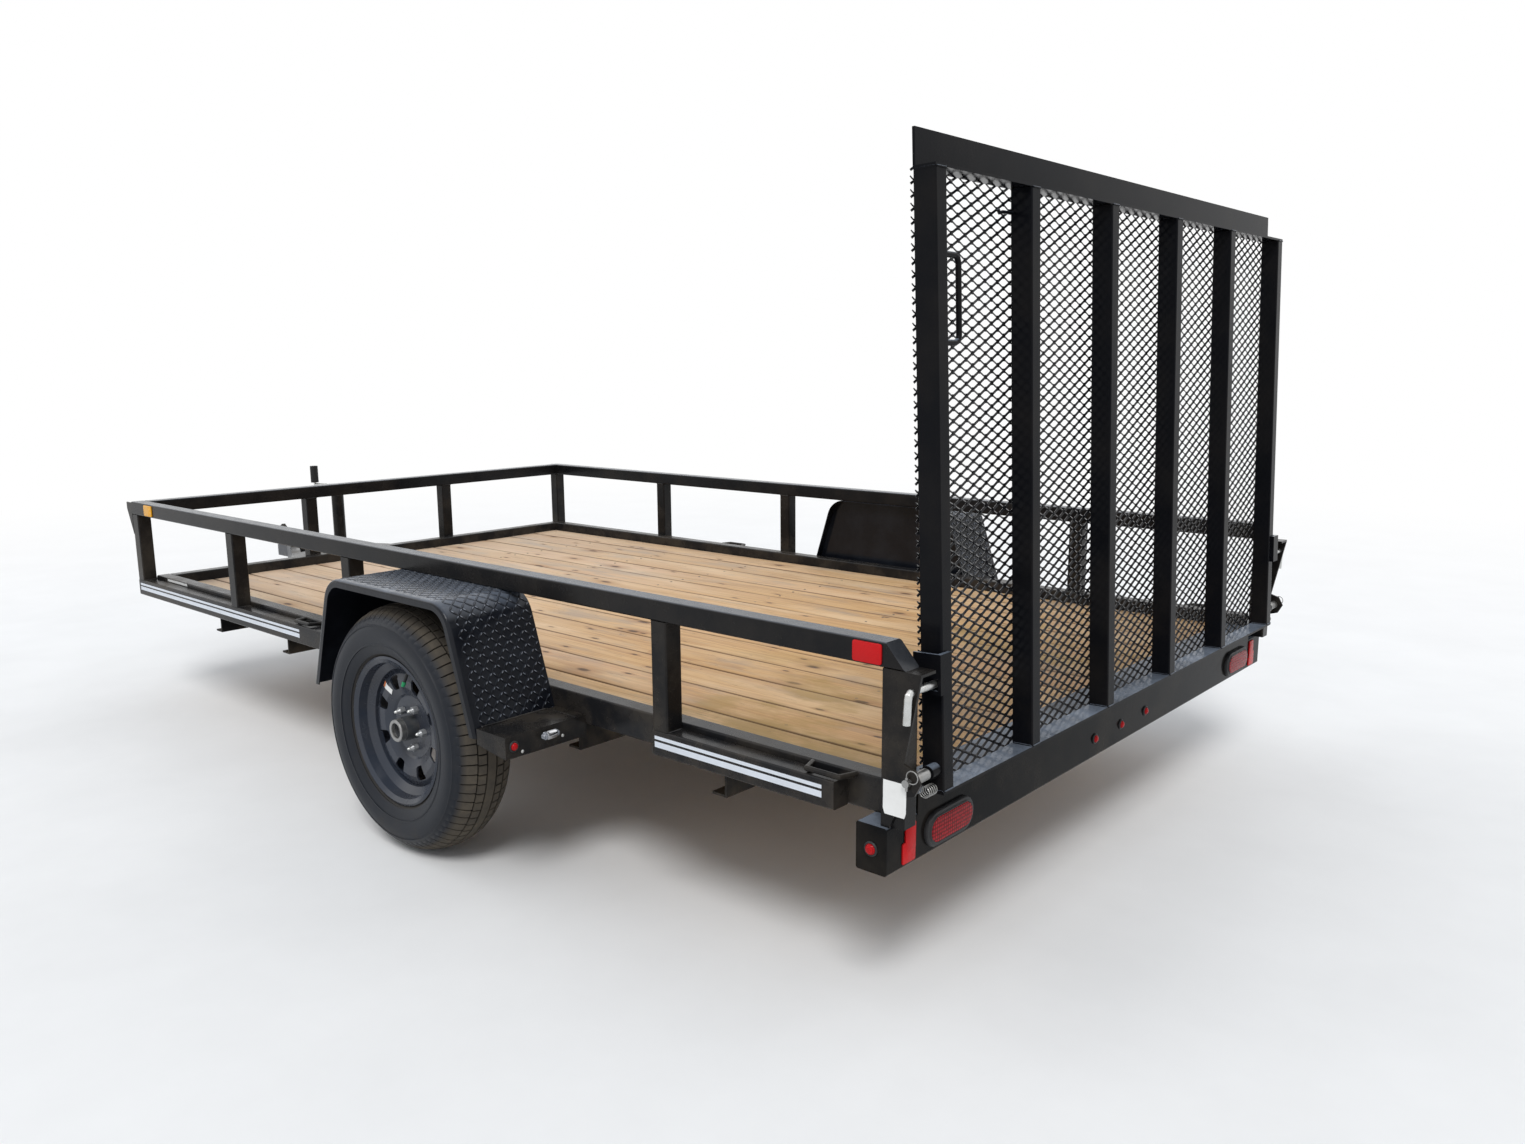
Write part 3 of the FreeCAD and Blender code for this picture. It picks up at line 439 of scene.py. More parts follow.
@dataclass(frozen=True)
class TreadPlatePaint(Finish):
    """Gloss paint on rolled tread plate, finely pitted, with a painted sky reflection on its upward faces.

    Attributes:
        sheen: share of the pale painted sky reflection on top faces.
    """

    sheen: float = 0.85

    def mix(self, shade: Shade) -> bpy.types.Material:
        """Dark paint over rolled steel with dust in the low spots, and a painted sky reflection on upward
        faces.

        Args:
            shade: the empty material.

        Returns:
            The finished material.
        """
        pits = shade.noise(90.0, 3.0, 0.5)
        cloud = shade.step(shade.noise(9.0, 4.0), 0.4, 0.75)
        up = shade.step(shade.axis(shade.facing, "Z"), 0.5, 0.95)
        # Painted sky reflection: upward faces blend towards pale blue-grey; the small share of it everywhere
        # stands for dust.
        wet = shade.step(cloud, 0.2, 0.8, (self.sheen * 0.6, self.sheen))
        film = shade.plus(shade.times(cloud, 0.05), shade.times(up, wet))
        base = shade.blend(film, (0.0062, 0.0072, 0.0102), (0.155, 0.18, 0.225))
        rough = shade.step(pits, 0.3, 0.7, (0.11, 0.20))
        normal = shade.relief(pits, 0.0006, 0.35)
        bead = shade.times(shade.step(shade.cells(170.0), 0.34, 0.15), up)
        normal = shade.relief(bead, 0.0009, 0.6, normal)
        return shade.dress(Base_Color=base, Roughness=rough, Normal=normal, Specular_IOR_Level=0.20)


@dataclass(frozen=True)
class Knots:
    """One kind of knot in the planks.

    Attributes:
        spread: places for a knot along and across a board, per metre.
        ragged: how far the fibres pull its outline.
        channel: which number of a place picks it.
        clear: share of the places that have no knot.
        halo: where the stained ring starts and ends, and its strength.
        heart: the same for the dark middle.
        stain: colour of the ring.
        core: colour of the middle.
    """

    spread: Pair
    ragged: float
    channel: str
    clear: float
    halo: Point
    heart: Point
    stain: Point
    core: Point

    def draw(self, shade: Shade, tone: object, own: object, fibre: object) -> bpy.types.NodeSocket:
        """Lay the knots over the wood.

        Args:
            shade: the material being made.
            tone: the wood's colour so far.
            own: the board's own shift of the pattern.
            fibre: the fibres' value.

        Returns:
            The colour with knots.
        """
        at = shade.stretch((*self.spread, 0.0), own)
        pull = shade.step(fibre, 0.2, 0.8, (-self.ragged, self.ragged))
        away = shade.plus(shade.cells(1.0, at, flat=True), pull)
        number = shade.axis(shade.cells(1.0, at, output="Color", flat=True), self.channel)
        chosen = shade.step(number, self.clear, self.clear + 0.02)
        for (outer, inner, strength), colour in ((self.halo, self.stain), (self.heart, self.core)):
            spot = shade.times(shade.step(away, outer, inner, (0.0, strength)), chosen)
            tone = shade.blend(spot, tone, colour)
        return tone


BRANCH_KNOTS = Knots((2.6, 6.2), 0.03, "X", 0.60, (0.27, 0.06, 0.50), (0.085, 0.040, 0.9),
                     (0.29, 0.135, 0.055), (0.062, 0.032, 0.018))
PIN_KNOTS = Knots((4.6, 13.0), 0.02, "Y", 0.72, (0.17, 0.05, 0.55), (0.075, 0.045, 0.9),
                  (0.26, 0.125, 0.055), (0.05, 0.028, 0.018))


@dataclass(frozen=True)
class PineDeck(Finish):
    """Sawn softwood planks with knots, checks, weathering, a green stain by the gate, a painted sky
    reflection towards the front and painted shade along the board edges.

    Attributes:
        first: middle of the gap beside the first board, in metres.
        pitch: one board and one gap, in metres.
    """

    first: float = (BOARD_GAP / 2 - FRAME_IN) / 1000.0
    pitch: float = (2 * FRAME_IN - BOARD_GAP) / BOARD_COUNT / 1000.0

    def grain(self, shade: Shade, board: object, own: object, fibre: object,
              late: object) -> bpy.types.NodeSocket:
        """Fibres, growth rings and the paler and redder stretches of a board.

        Args:
            shade: the material being made.
            board: the board's number between 0 and 1.
            own: the board's own shift of the pattern.
            fibre: the fibres' value.
            late: the dark edge of the growth rings.

        Returns:
            The colour of clean wood.
        """
        tone = shade.blend(board, (0.600, 0.365, 0.158), (0.455, 0.252, 0.098))
        tone = shade.blend(shade.step(fibre, 0.42, 0.72, (0.0, 0.62)), tone, (0.72, 0.495, 0.262))
        tone = shade.blend(shade.step(fibre, 0.46, 0.24, (0.0, 0.70)), tone, (0.300, 0.150, 0.056))
        tone = shade.blend(shade.times(late, 0.58), tone, (0.325, 0.155, 0.058))
        cloud = shade.noise(1.0, 4.0, 0.6, shade.stretch((1.1, 6.0, 1.0), own))
        tone = shade.blend(shade.step(cloud, 0.46, 0.66, (0.0, 0.55)), tone, (0.755, 0.560, 0.355))
        cloud = shade.noise(1.0, 3.0, 0.5, shade.stretch((0.7, 5.0, 1.0), own))
        return shade.blend(shade.step(cloud, 0.5, 0.7, (0.0, 0.35)), tone, (0.55, 0.30, 0.175))

    def patches_and_sky_sheen(self, shade: Shade, tone: object) -> bpy.types.NodeSocket:
        """Grey patches, browner at the gate, and paler towards the front as a painted sky reflection.

        Args:
            shade: the material being made.
            tone: the clean wood's colour.

        Returns:
            The weathered colour with the painted reflection.
        """
        cloud = shade.noise(1.0, 5.0, 0.65, shade.stretch((2.2, 9.0, 1.0)))
        tone = shade.blend(shade.step(cloud, 0.52, 0.68, (0.0, 0.62)), tone, (0.285, 0.225, 0.180))
        along = shade.axis(shade.place, "X")
        tone = shade.blend(shade.step(along, -1.0, -2.0, (0.0, 0.30)), tone, (0.40, 0.245, 0.115))
        # Painted sky reflection: paler and less saturated towards the front, as at a grazing angle.
        return shade.blend(shade.step(along, -1.3, 1.2, (0.0, 0.36)), tone, (0.640, 0.590, 0.530))

    def moss(self, shade: Shade, tone: object) -> bpy.types.NodeSocket:
        """Green-brown stain on the boards beside the gate.

        Args:
            shade: the material being made.
            tone: the colour so far.

        Returns:
            The stained colour.
        """
        near = shade.step(shade.axis(shade.place, "X"), -1.10, -1.60)
        cloud = shade.noise(1.0, 5.0, 0.65, shade.stretch((2.4, 4.2, 1.0)))
        patch = shade.step(cloud, 0.52, 0.63, (0.0, 0.62))
        return shade.blend(shade.times(near, patch), tone, (0.30, 0.19, 0.045))

    def edges(self, shade: Shade, tone: object) -> bpy.types.NodeSocket:
        """Painted shade along both edges of each board, for the shaded gaps between the boards.

        Args:
            shade: the material being made.
            tone: the colour so far.

        Returns:
            The colour with painted shade along the edges.
        """
        across = shade.times(shade.minus(shade.axis(shade.place, "Y"), self.first), 1.0 / self.pitch)
        part = shade.maths("FRACT", across)
        edge = shade.maths("MINIMUM", part, shade.minus(1.0, part))
        # Painted shade: dark brown within a few millimetres of each gap.
        return shade.blend(shade.step(edge, 0.050, 0.016, (0.0, 0.80)), tone, (0.105, 0.056, 0.026))

    def mix(self, shade: Shade) -> bpy.types.Material:
        """Grain drawn along X, set apart from board to board by the board's own number.

        Args:
            shade: the empty material.

        Returns:
            The finished material.
        """
        board = shade.node("Attribute", attribute_name="board").outputs["Fac"]
        shift = shade.node("CombineXYZ")
        shade.feed(shift.inputs[0], shade.times(board, 37.0))
        shade.feed(shift.inputs[1], shade.times(board, 11.0))
        own = shift.outputs[0]
        fibre = shade.noise(1.0, 6.0, 0.62, shade.stretch((3.5, 190.0, 190.0), own))
        rings = shade.noise(1.0, 3.0, 0.5, shade.stretch((0.42, 17.0, 17.0), own), 0.5)
        bands = shade.maths("FRACT", shade.times(rings, 9.0))
        late = shade.times(shade.step(bands, 0.45, 0.9), shade.step(bands, 1.0, 0.92))
        tone = self.patches_and_sky_sheen(shade, self.grain(shade, board, own, fibre, late))
        for knots in (BRANCH_KNOTS, PIN_KNOTS):
            tone = knots.draw(shade, tone, own, fibre)
        split = shade.noise(1.0, 2.0, 0.5, shade.stretch((9.0, 260.0, 10.0), own))
        check = shade.step(split, 0.705, 0.735)
        tone = shade.blend(shade.times(check, 0.75), tone, (0.085, 0.050, 0.030))
        tone = self.edges(shade, self.moss(shade, tone))
        height = shade.plus(shade.times(fibre, 0.6), shade.times(late, 0.25))
        height = shade.minus(height, shade.times(check, 1.2))
        return shade.dress(Base_Color=tone, Roughness=shade.step(fibre, 0.3, 0.7, (0.56, 0.74)),
                           Normal=shade.relief(height, 0.0008, 0.6), Specular_IOR_Level=0.35)


@dataclass(frozen=True)
class Zinc(Finish):
    """Bright plated steel.

    Attributes:
        colour: the plating.
        rough: its roughness.
    """

    colour: Point = (0.60, 0.61, 0.60)
    rough: float = 0.30

    def mix(self, shade: Shade) -> bpy.types.Material:
        """Plating with a faint spangle and darker stains.

        Args:
            shade: the empty material.

        Returns:
            The finished material.
        """
        spangle = shade.noise(90.0, 4.0, 0.6)
        stain = shade.step(shade.noise(28.0, 4.0, 0.6), 0.5, 0.8, (0.0, 0.45))
        base = shade.blend(stain, self.colour, (0.30, 0.28, 0.24))
        rough = shade.step(spangle, 0.3, 0.7, (self.rough - 0.08, self.rough + 0.12))
        return shade.dress(Base_Color=base, Metallic=1.0, Roughness=rough,
                           Normal=shade.relief(shade.noise(380.0, 2.0), 0.0002, 0.5))


@dataclass(frozen=True)
class Moulded(Finish):
    """Moulded plastic or rubber in one colour.

    Attributes:
        colour: the plastic.
        rough: its roughness.
        grain: depth of the moulded grain, in metres.
    """

    colour: Point = (0.02, 0.02, 0.02)
    rough: float = 0.5
    grain: float = 0.0002

    def mix(self, shade: Shade) -> bpy.types.Material:
        """Plastic with a moulded grain and a little dust.

        Args:
            shade: the empty material.

        Returns:
            The finished material.
        """
        grain = shade.noise(900.0, 2.0)
        film = shade.step(shade.noise(30.0, 4.0), 0.45, 0.8, (0.0, 0.16))
        tint = tuple(min(1.0, c + 0.07) for c in self.colour)
        return shade.dress(Base_Color=shade.blend(film, self.colour, tint),
                           Roughness=shade.step(grain, 0.3, 0.7, (self.rough - 0.06, self.rough + 0.08)),
                           Normal=shade.relief(grain, self.grain, 0.6), Specular_IOR_Level=0.25)


@dataclass(frozen=True)
class Lens(Finish):
    """Coloured lens with small prisms behind a smooth face.

    Attributes:
        colour: the plastic.
        deep: the colour in the hollows between the prisms.
        pitch: prisms per metre.
    """

    colour: Point = (0.55, 0.018, 0.014)
    deep: Point = (0.22, 0.004, 0.004)
    pitch: float = 330.0

    def mix(self, shade: Shade) -> bpy.types.Material:
        """Prisms seen as a fine pattern under a clear coat.

        Args:
            shade: the empty material.

        Returns:
            The finished material.
        """
        prism = shade.cells(self.pitch, loose=0.15)
        base = shade.blend(shade.step(prism, 0.15, 0.55), self.colour, self.deep)
        fine = shade.relief(shade.step(prism, 0.0, 0.6, (1.0, 0.0)), 0.0006, 0.5)
        return shade.dress(Base_Color=base, Roughness=shade.step(prism, 0.1, 0.6, (0.14, 0.26)), Normal=fine,
                           Specular_IOR_Level=0.10, Coat_Weight=0.05, Coat_Roughness=0.05)


@dataclass(frozen=True)
class TyreRubber(Finish):
    """Blue-black rubber, brown with dust on the tread.

    Attributes:
        middle: Y of the wheel's middle plane, in metres.
        axle: X and Z of the axle, in metres.
        radius: the tyre's radius, in metres.
        tread: half of the dusty band's width, in metres.
    """

    middle: float = WHEEL[1] / 1000.0
    axle: Pair = ((WHEEL[0] - SHIFT) / 1000.0, WHEEL[2] / 1000.0)
    radius: float = TYRE_R / 1000.0
    tread: float = 0.070

    def mix(self, shade: Shade) -> bpy.types.Material:
        """Dust lies on the tread and thins out down the sides, and the grooves get painted shade.

        Args:
            shade: the empty material.

        Returns:
            The finished material.
        """
        side = shade.maths("ABSOLUTE", shade.axis(shade.place, "Y"))
        off = shade.maths("ABSOLUTE", shade.minus(side, self.middle))
        square = shade.times(off, off)
        crown = shade.plus(shade.times(square, 3.6), shade.times(shade.times(square, square), 230.0))
        sunk = shade.minus(shade.minus(self.radius, crown), shade.reach(self.axle))
        cloud = shade.noise(26.0, 5.0, 0.65)
        border = shade.plus(off, shade.step(cloud, 0.2, 0.8, (-0.004, 0.004)))
        band = shade.step(border, self.tread + 0.009, self.tread - 0.006)
        worn = shade.times(band, shade.step(cloud, 0.25, 0.75, (0.50, 0.95)))
        wall = shade.step(cloud, 0.45, 0.85, (0.0, 0.07))
        splash = shade.step(shade.axis(shade.place, "Z"), 0.12, 0.02, (0.0, 0.4))
        low = shade.times(shade.step(cloud, 0.42, 0.70), splash)
        film = shade.maths("MAXIMUM", shade.plus(worn, wall), low)
        base = shade.blend(film, (0.0125, 0.0150, 0.0205), (0.098, 0.082, 0.061))
        # Painted shade: the grooves turn darker than clean rubber.
        groove_shade = shade.times(band, shade.step(sunk, 0.0022, 0.0050, (0.0, 0.92)))
        base = shade.blend(groove_shade, base, (0.007, 0.0065, 0.006))
        normal = shade.relief(shade.noise(600.0, 3.0, 0.6), 0.0004, 0.6)
        return shade.dress(Base_Color=base, Roughness=shade.step(film, 0.0, 0.6, (0.42, 0.80)),
                           Normal=normal, Specular_IOR_Level=0.20)


@dataclass(frozen=True)
class HubPaint(Finish):
    """Black hub with plated nuts, told apart by their distance from the axle.

    Attributes:
        axle: X and Z of the axle, in metres.
    """

    axle: Pair = ((WHEEL[0] - SHIFT) / 1000.0, WHEEL[2] / 1000.0)

    def mix(self, shade: Shade) -> bpy.types.Material:
        """Paint inside the ring of nuts, zinc from there out.

        Args:
            shade: the empty material.

        Returns:
            The finished material.
        """
        nuts = shade.step(shade.reach(self.axle), 0.0425, 0.0435)
        stain = shade.step(shade.noise(60.0, 4.0, 0.6), 0.4, 0.8, (0.0, 0.4))
        paint = shade.blend(stain, (0.048, 0.052, 0.058), (0.12, 0.11, 0.095))
        zinc = shade.blend(stain, (0.42, 0.43, 0.44), (0.25, 0.24, 0.22))
        rough = shade.step(shade.noise(180.0, 3.0), 0.3, 0.7, (0.30, 0.46))
        return shade.dress(Base_Color=shade.blend(nuts, paint, zinc), Metallic=shade.times(nuts, 0.55),
                           Roughness=rough, Normal=shade.relief(shade.noise(400.0, 2.0), 0.0002, 0.5),
                           Specular_IOR_Level=0.25)


@dataclass(frozen=True)
class Tape(Finish):
    """Flat printed film, such as a stripe or a blank label.

    Attributes:
        colour: the film.
        worn: share of scuffs.
    """

    colour: Point = (0.72, 0.73, 0.73)
    worn: float = 0.3

    def mix(self, shade: Shade) -> bpy.types.Material:
        """Film with grime and fine scuffs.

        Args:
            shade: the empty material.

        Returns:
            The finished material.
        """
        grime = shade.step(shade.noise(22.0, 5.0, 0.65), 0.42, 0.8, (0.0, self.worn))
        scuff = shade.step(shade.noise(1.0, 3.0, 0.6, shade.stretch((60.0, 60.0, 700.0))), 0.66, 0.75,
                           (0.0, self.worn))
        base = shade.blend(grime, self.colour, (0.30, 0.27, 0.23))
        base = shade.blend(scuff, base, (0.16, 0.15, 0.14))
        return shade.dress(Base_Color=base, Roughness=shade.step(grime, 0.0, 0.4, (0.34, 0.6)),
                           Normal=shade.relief(shade.noise(240.0, 2.0), 0.0001, 0.4))


# With drops set, the top faces also get a painted sky reflection in the paint's last colour.
RAIL_PAINT = PowderCoat("rail_paint", "black_paint", rain_beads_and_sheen=True)
POST_PAINT = PowderCoat("post_paint", "black_paint", (0.0085, 0.0082, 0.0085), dust=0.14)
FRAME_PAINT = PowderCoat("frame_paint", "black_paint", (0.0105, 0.0108, 0.0122), dust=0.14)
GATE_PAINT = PowderCoat("gate_paint", "black_paint", (0.0048, 0.0052, 0.0068), 0.13, 0.04, True, 0.06,
                        (0.25, 0.295, 0.365))
UNDER_PAINT = PowderCoat("underside_paint", "black_paint", rough=0.42, dust=0.24)
SILL_PAINT = PowderCoat("header_paint", "black_paint", (0.0045, 0.0046, 0.0050), 0.13, 0.05, True, 0.05,
                        (0.27, 0.315, 0.385))
MESH_PAINT = PowderCoat("mesh_coat", "mesh_paint", (0.0075, 0.0078, 0.0092), 0.20, 0.03, shine=0.22)
RIM_PAINT = PowderCoat("rim_coat", "rim_paint", (0.0300, 0.0365, 0.0510), 0.20, 0.06, shine=0.34)
# Both tread plate paints carry a painted sky reflection on upward faces, weaker on the lozenges.
FENDER_PAINT = TreadPlatePaint("tread_plate_paint", "fender_plate")
LOZENGE_PAINT = TreadPlatePaint("lozenge_paint", "fender_plate", 0.40)
# Painted glints: pale crest pieces on the fender lozenges.
PAINTED_GLINT = Zinc("painted_crest_glints", "fender_plate", (0.20, 0.22, 0.26), 0.36)
# Painted highlight: the hinge springs get pale zinc all over in place of their highlights.
HINGE_SPRING_HIGHLIGHT = Zinc("spring_painted_highlight", "zinc", (0.46, 0.46, 0.45), 0.40)
PINE = PineDeck("pine_planks", "deck_wood")
ZINC = Zinc("bright_zinc", "zinc")
DULL_ZINC = Zinc("dull_zinc", "zinc", (0.33, 0.33, 0.325), 0.42)
CHROME = Zinc("polished_chrome", "chrome_trim", (0.46, 0.47, 0.49), 0.14)
COUPLER_STEEL = Zinc("coupler_steel", "zinc", (0.095, 0.10, 0.11), 0.34)
GRIP = Moulded("crank_grip", "grip_plastic", (0.018, 0.018, 0.018), 0.6)
GROMMET = Moulded("lamp_grommet", "grip_plastic", (0.022, 0.022, 0.023), 0.42)
SCREW = Zinc("deck_screw", "zinc", (0.16, 0.14, 0.12), 0.5)
VALVE_CAP = Moulded("valve_cap", "grip_plastic", (0.02, 0.26, 0.10), 0.38)
RED_LENS = Lens("red_lens", "lamp_red", (0.44, 0.010, 0.017), (0.11, 0.002, 0.004), 120.0)
MARKER_LENS = Lens("marker_lens", "lamp_red", (0.62, 0.014, 0.018), (0.30, 0.004, 0.006), 300.0)
RED_PRISM = Lens("red_reflector", "lamp_red", (0.68, 0.012, 0.014), (0.46, 0.006, 0.008), 420.0)
AMBER_PRISM = Lens("amber_reflector", "lamp_amber", (0.90, 0.47, 0.022), (0.78, 0.34, 0.010), 420.0)
CLEAR_LENS = Lens("clear_lens", "chrome_trim", (0.42, 0.44, 0.47), (0.16, 0.17, 0.19), 160.0)
TYRE = TyreRubber("dusty_rubber", "tyre_rubber")
HUB = HubPaint("hub_paint", "hub_steel")
STRIPE = Tape("stripe_film", "black_paint", (0.66, 0.70, 0.76), 0.16)
LABEL = Tape("blank_label", "black_paint", (0.80, 0.80, 0.78), 0.15)
LABEL_END = Tape("label_end", "black_paint", (0.62, 0.17, 0.05), 0.15)


# Mesh work


@dataclass
class Blank:
    """Faces of one piece being made, in drawing millimetres.

    Attributes:
        points: its points.
        faces: its faces, as places in the points.
        tones: one number for each point, which tells boards apart.
        tone: the number that new points get.
    """

    points: list[Point] = field(default_factory=list)
    faces: list[tuple[int, ...]] = field(default_factory=list)
    tones: list[float] = field(default_factory=list)
    tone: float = 0.0

    def add(self, points: Iterable[Sequence[float]], faces: Iterable[Sequence[int]]) -> None:
        """Add points and the faces between them.

        Args:
            points: the new points.
            faces: rows of places in the new points.
        """
        start = len(self.points)
        fresh = [tuple(p) for p in points]
        self.points.extend(fresh)
        self.tones.extend([self.tone] * len(fresh))
        self.faces.extend(tuple(start + i for i in face) for face in faces)

    def loft(self, rings: Sequence[Sequence[Sequence[float]]], closed: bool = False) -> None:
        """Skin a row of equal closed rings.

        Args:
            rings: rings of points, all of one length.
            closed: whether the last ring joins the first; if not, both ends are filled.
        """
        n = len(rings[0])
        faces: list[tuple[int, ...]] = []
        count = len(rings)
        for k in range(count if closed else count - 1):
            a, b = k * n, ((k + 1) % count) * n
            faces.extend((a + i, a + (i + 1) % n, b + (i + 1) % n, b + i) for i in range(n))
        if not closed:
            faces.append(tuple(range(n - 1, -1, -1)))
            faces.append(tuple(range((count - 1) * n, count * n)))
        self.add([p for ring in rings for p in ring], faces)

    def sheet(self, rows: Sequence[Sequence[Sequence[float]]]) -> None:
        """Thin skin over rows of points.

        Args:
            rows: rows of points, all of one length.
        """
        n = len(rows[0])
        faces = [(i * n + j, i * n + j + 1, (i + 1) * n + j + 1, (i + 1) * n + j)
                 for i in range(len(rows) - 1) for j in range(n - 1)]
        self.add([p for row in rows for p in row], faces)

    def block(self, x: Pair, y: Pair, z: Pair, ease: float) -> None:
        """Block with eased edges along its longest side.

        Args:
            x: from and to on X.
            y: from and to on Y.
            z: from and to on Z.
            ease: width of the eased edges.
        """
        spans = (x, y, z)
        long = max(range(3), key=lambda i: spans[i][1] - spans[i][0])
        u, v = [i for i in range(3) if i != long]
        (u0, u1), (v0, v1) = spans[u], spans[v]
        e = min(ease, (u1 - u0) / 2.1, (v1 - v0) / 2.1)
        outline = [(u0 + e, v0), (u1 - e, v0), (u1, v0 + e), (u1, v1 - e), (u1 - e, v1), (u0 + e, v1),
                   (u0, v1 - e), (u0, v0 + e)]
        rings = []
        for at in spans[long]:
            ring = []
            for a, b in outline:
                p = [0.0, 0.0, 0.0]
                p[long], p[u], p[v] = at, a, b
                ring.append(tuple(p))
            rings.append(ring)
        self.loft(rings)

    def tube(self, path: Sequence[Sequence[float]], radius: float | Sequence[float], sides: int = 10,
             closed: bool = False) -> None:
        """Round bar along a path.

        Args:
            path: points of its centre line.
            radius: one radius, or one for each point.
            sides: corners of its section.
            closed: whether the path joins up.
        """
        line = [Vector(p) for p in path]
        radii = [radius] * len(line) if isinstance(radius, (int, float)) else list(radius)
        normal = None
        rings = []
        for i, p in enumerate(line):
            before = line[i - 1] if i or closed else p
            after = line[(i + 1) % len(line)] if i + 1 < len(line) or closed else p
            along = (after - before).normalized()
            if normal is None:
                normal = along.cross(Vector((0.31, 0.17, 0.93))).normalized()
            normal = (normal - along * normal.dot(along)).normalized()
            other = along.cross(normal)
            ring = [p + (normal * math.cos(t) + other * math.sin(t)) * radii[i]
                    for t in (2 * math.pi * k / sides for k in range(sides))]
            rings.append([tuple(q) for q in ring])
        self.loft(rings, closed)

    def disc(self, centre: Point, axis: Point, profile: Sequence[Pair], sides: int = 24) -> None:
        """Turned piece standing on an axis.

        Args:
            centre: where the axis starts.
            axis: the axis' direction.
            profile: height along the axis and radius, from the foot to the tip.
            sides: corners round it.
        """
        along = Vector(axis).normalized()
        normal = along.orthogonal().normalized()
        other = along.cross(normal)
        rings = []
        for h, r in profile:
            mid = Vector(centre) + along * h
            rings.append([tuple(mid + (normal * math.cos(t) + other * math.sin(t)) * r)
                          for t in (2 * math.pi * k / sides for k in range(sides))])
        self.loft(rings)

    def mirrored(self) -> None:
        """Add the same faces on the other side of the trailer."""
        n = len(self.points)
        self.points.extend([(x, -y, z) for x, y, z in self.points[:n]])
        self.tones.extend(self.tones[:n])
        self.faces.extend([tuple(n + i for i in reversed(face)) for face in self.faces[:]])

    def bent(self, move: Callable[[Sequence[float]], Point]) -> None:
        """Move every point by a function."""
        self.points = [move(p) for p in self.points]

    def piece(self, name: str, finish: Finish, body: Body, replaces: Sequence[str] = (), sharp: float = 35.0,
              toned: bool = False) -> bpy.types.Object:
        """Finish the piece and hang it on its body.

        Args:
            name: the piece's name.
            finish: its finish.
            body: the body that carries it.
            replaces: CAD nodes that it stands for.
            sharp: angle over which edges stay sharp, in degrees.
            toned: whether the tones are kept as the attribute "board".

        Returns:
            The new object.
        """
        mesh = bpy.data.meshes.new(name)
        mesh.from_pydata([to_row(p) for p in self.points], [], self.faces)
        if toned:
            mesh.attributes.new("board", "FLOAT", "POINT").data.foreach_set("value", self.tones)
        work = bmesh.new()
        work.from_mesh(mesh)
        bmesh.ops.recalc_face_normals(work, faces=work.faces)
        work.to_mesh(mesh)
        work.free()
        mesh.polygons.foreach_set("use_smooth", [True] * len(mesh.polygons))
        mesh.set_sharp_from_angle(angle=math.radians(sharp))
        mesh.materials.append(finish.make())
        made = bpy.data.objects.new(name, mesh)
        bpy.context.scene.collection.objects.link(made)
        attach(made, body.value)
        if replaces:
            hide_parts(*replaces)
        log.info("%s: %d faces on %s", name, len(mesh.polygons), body.value)
        return made


# Sub-assemblies


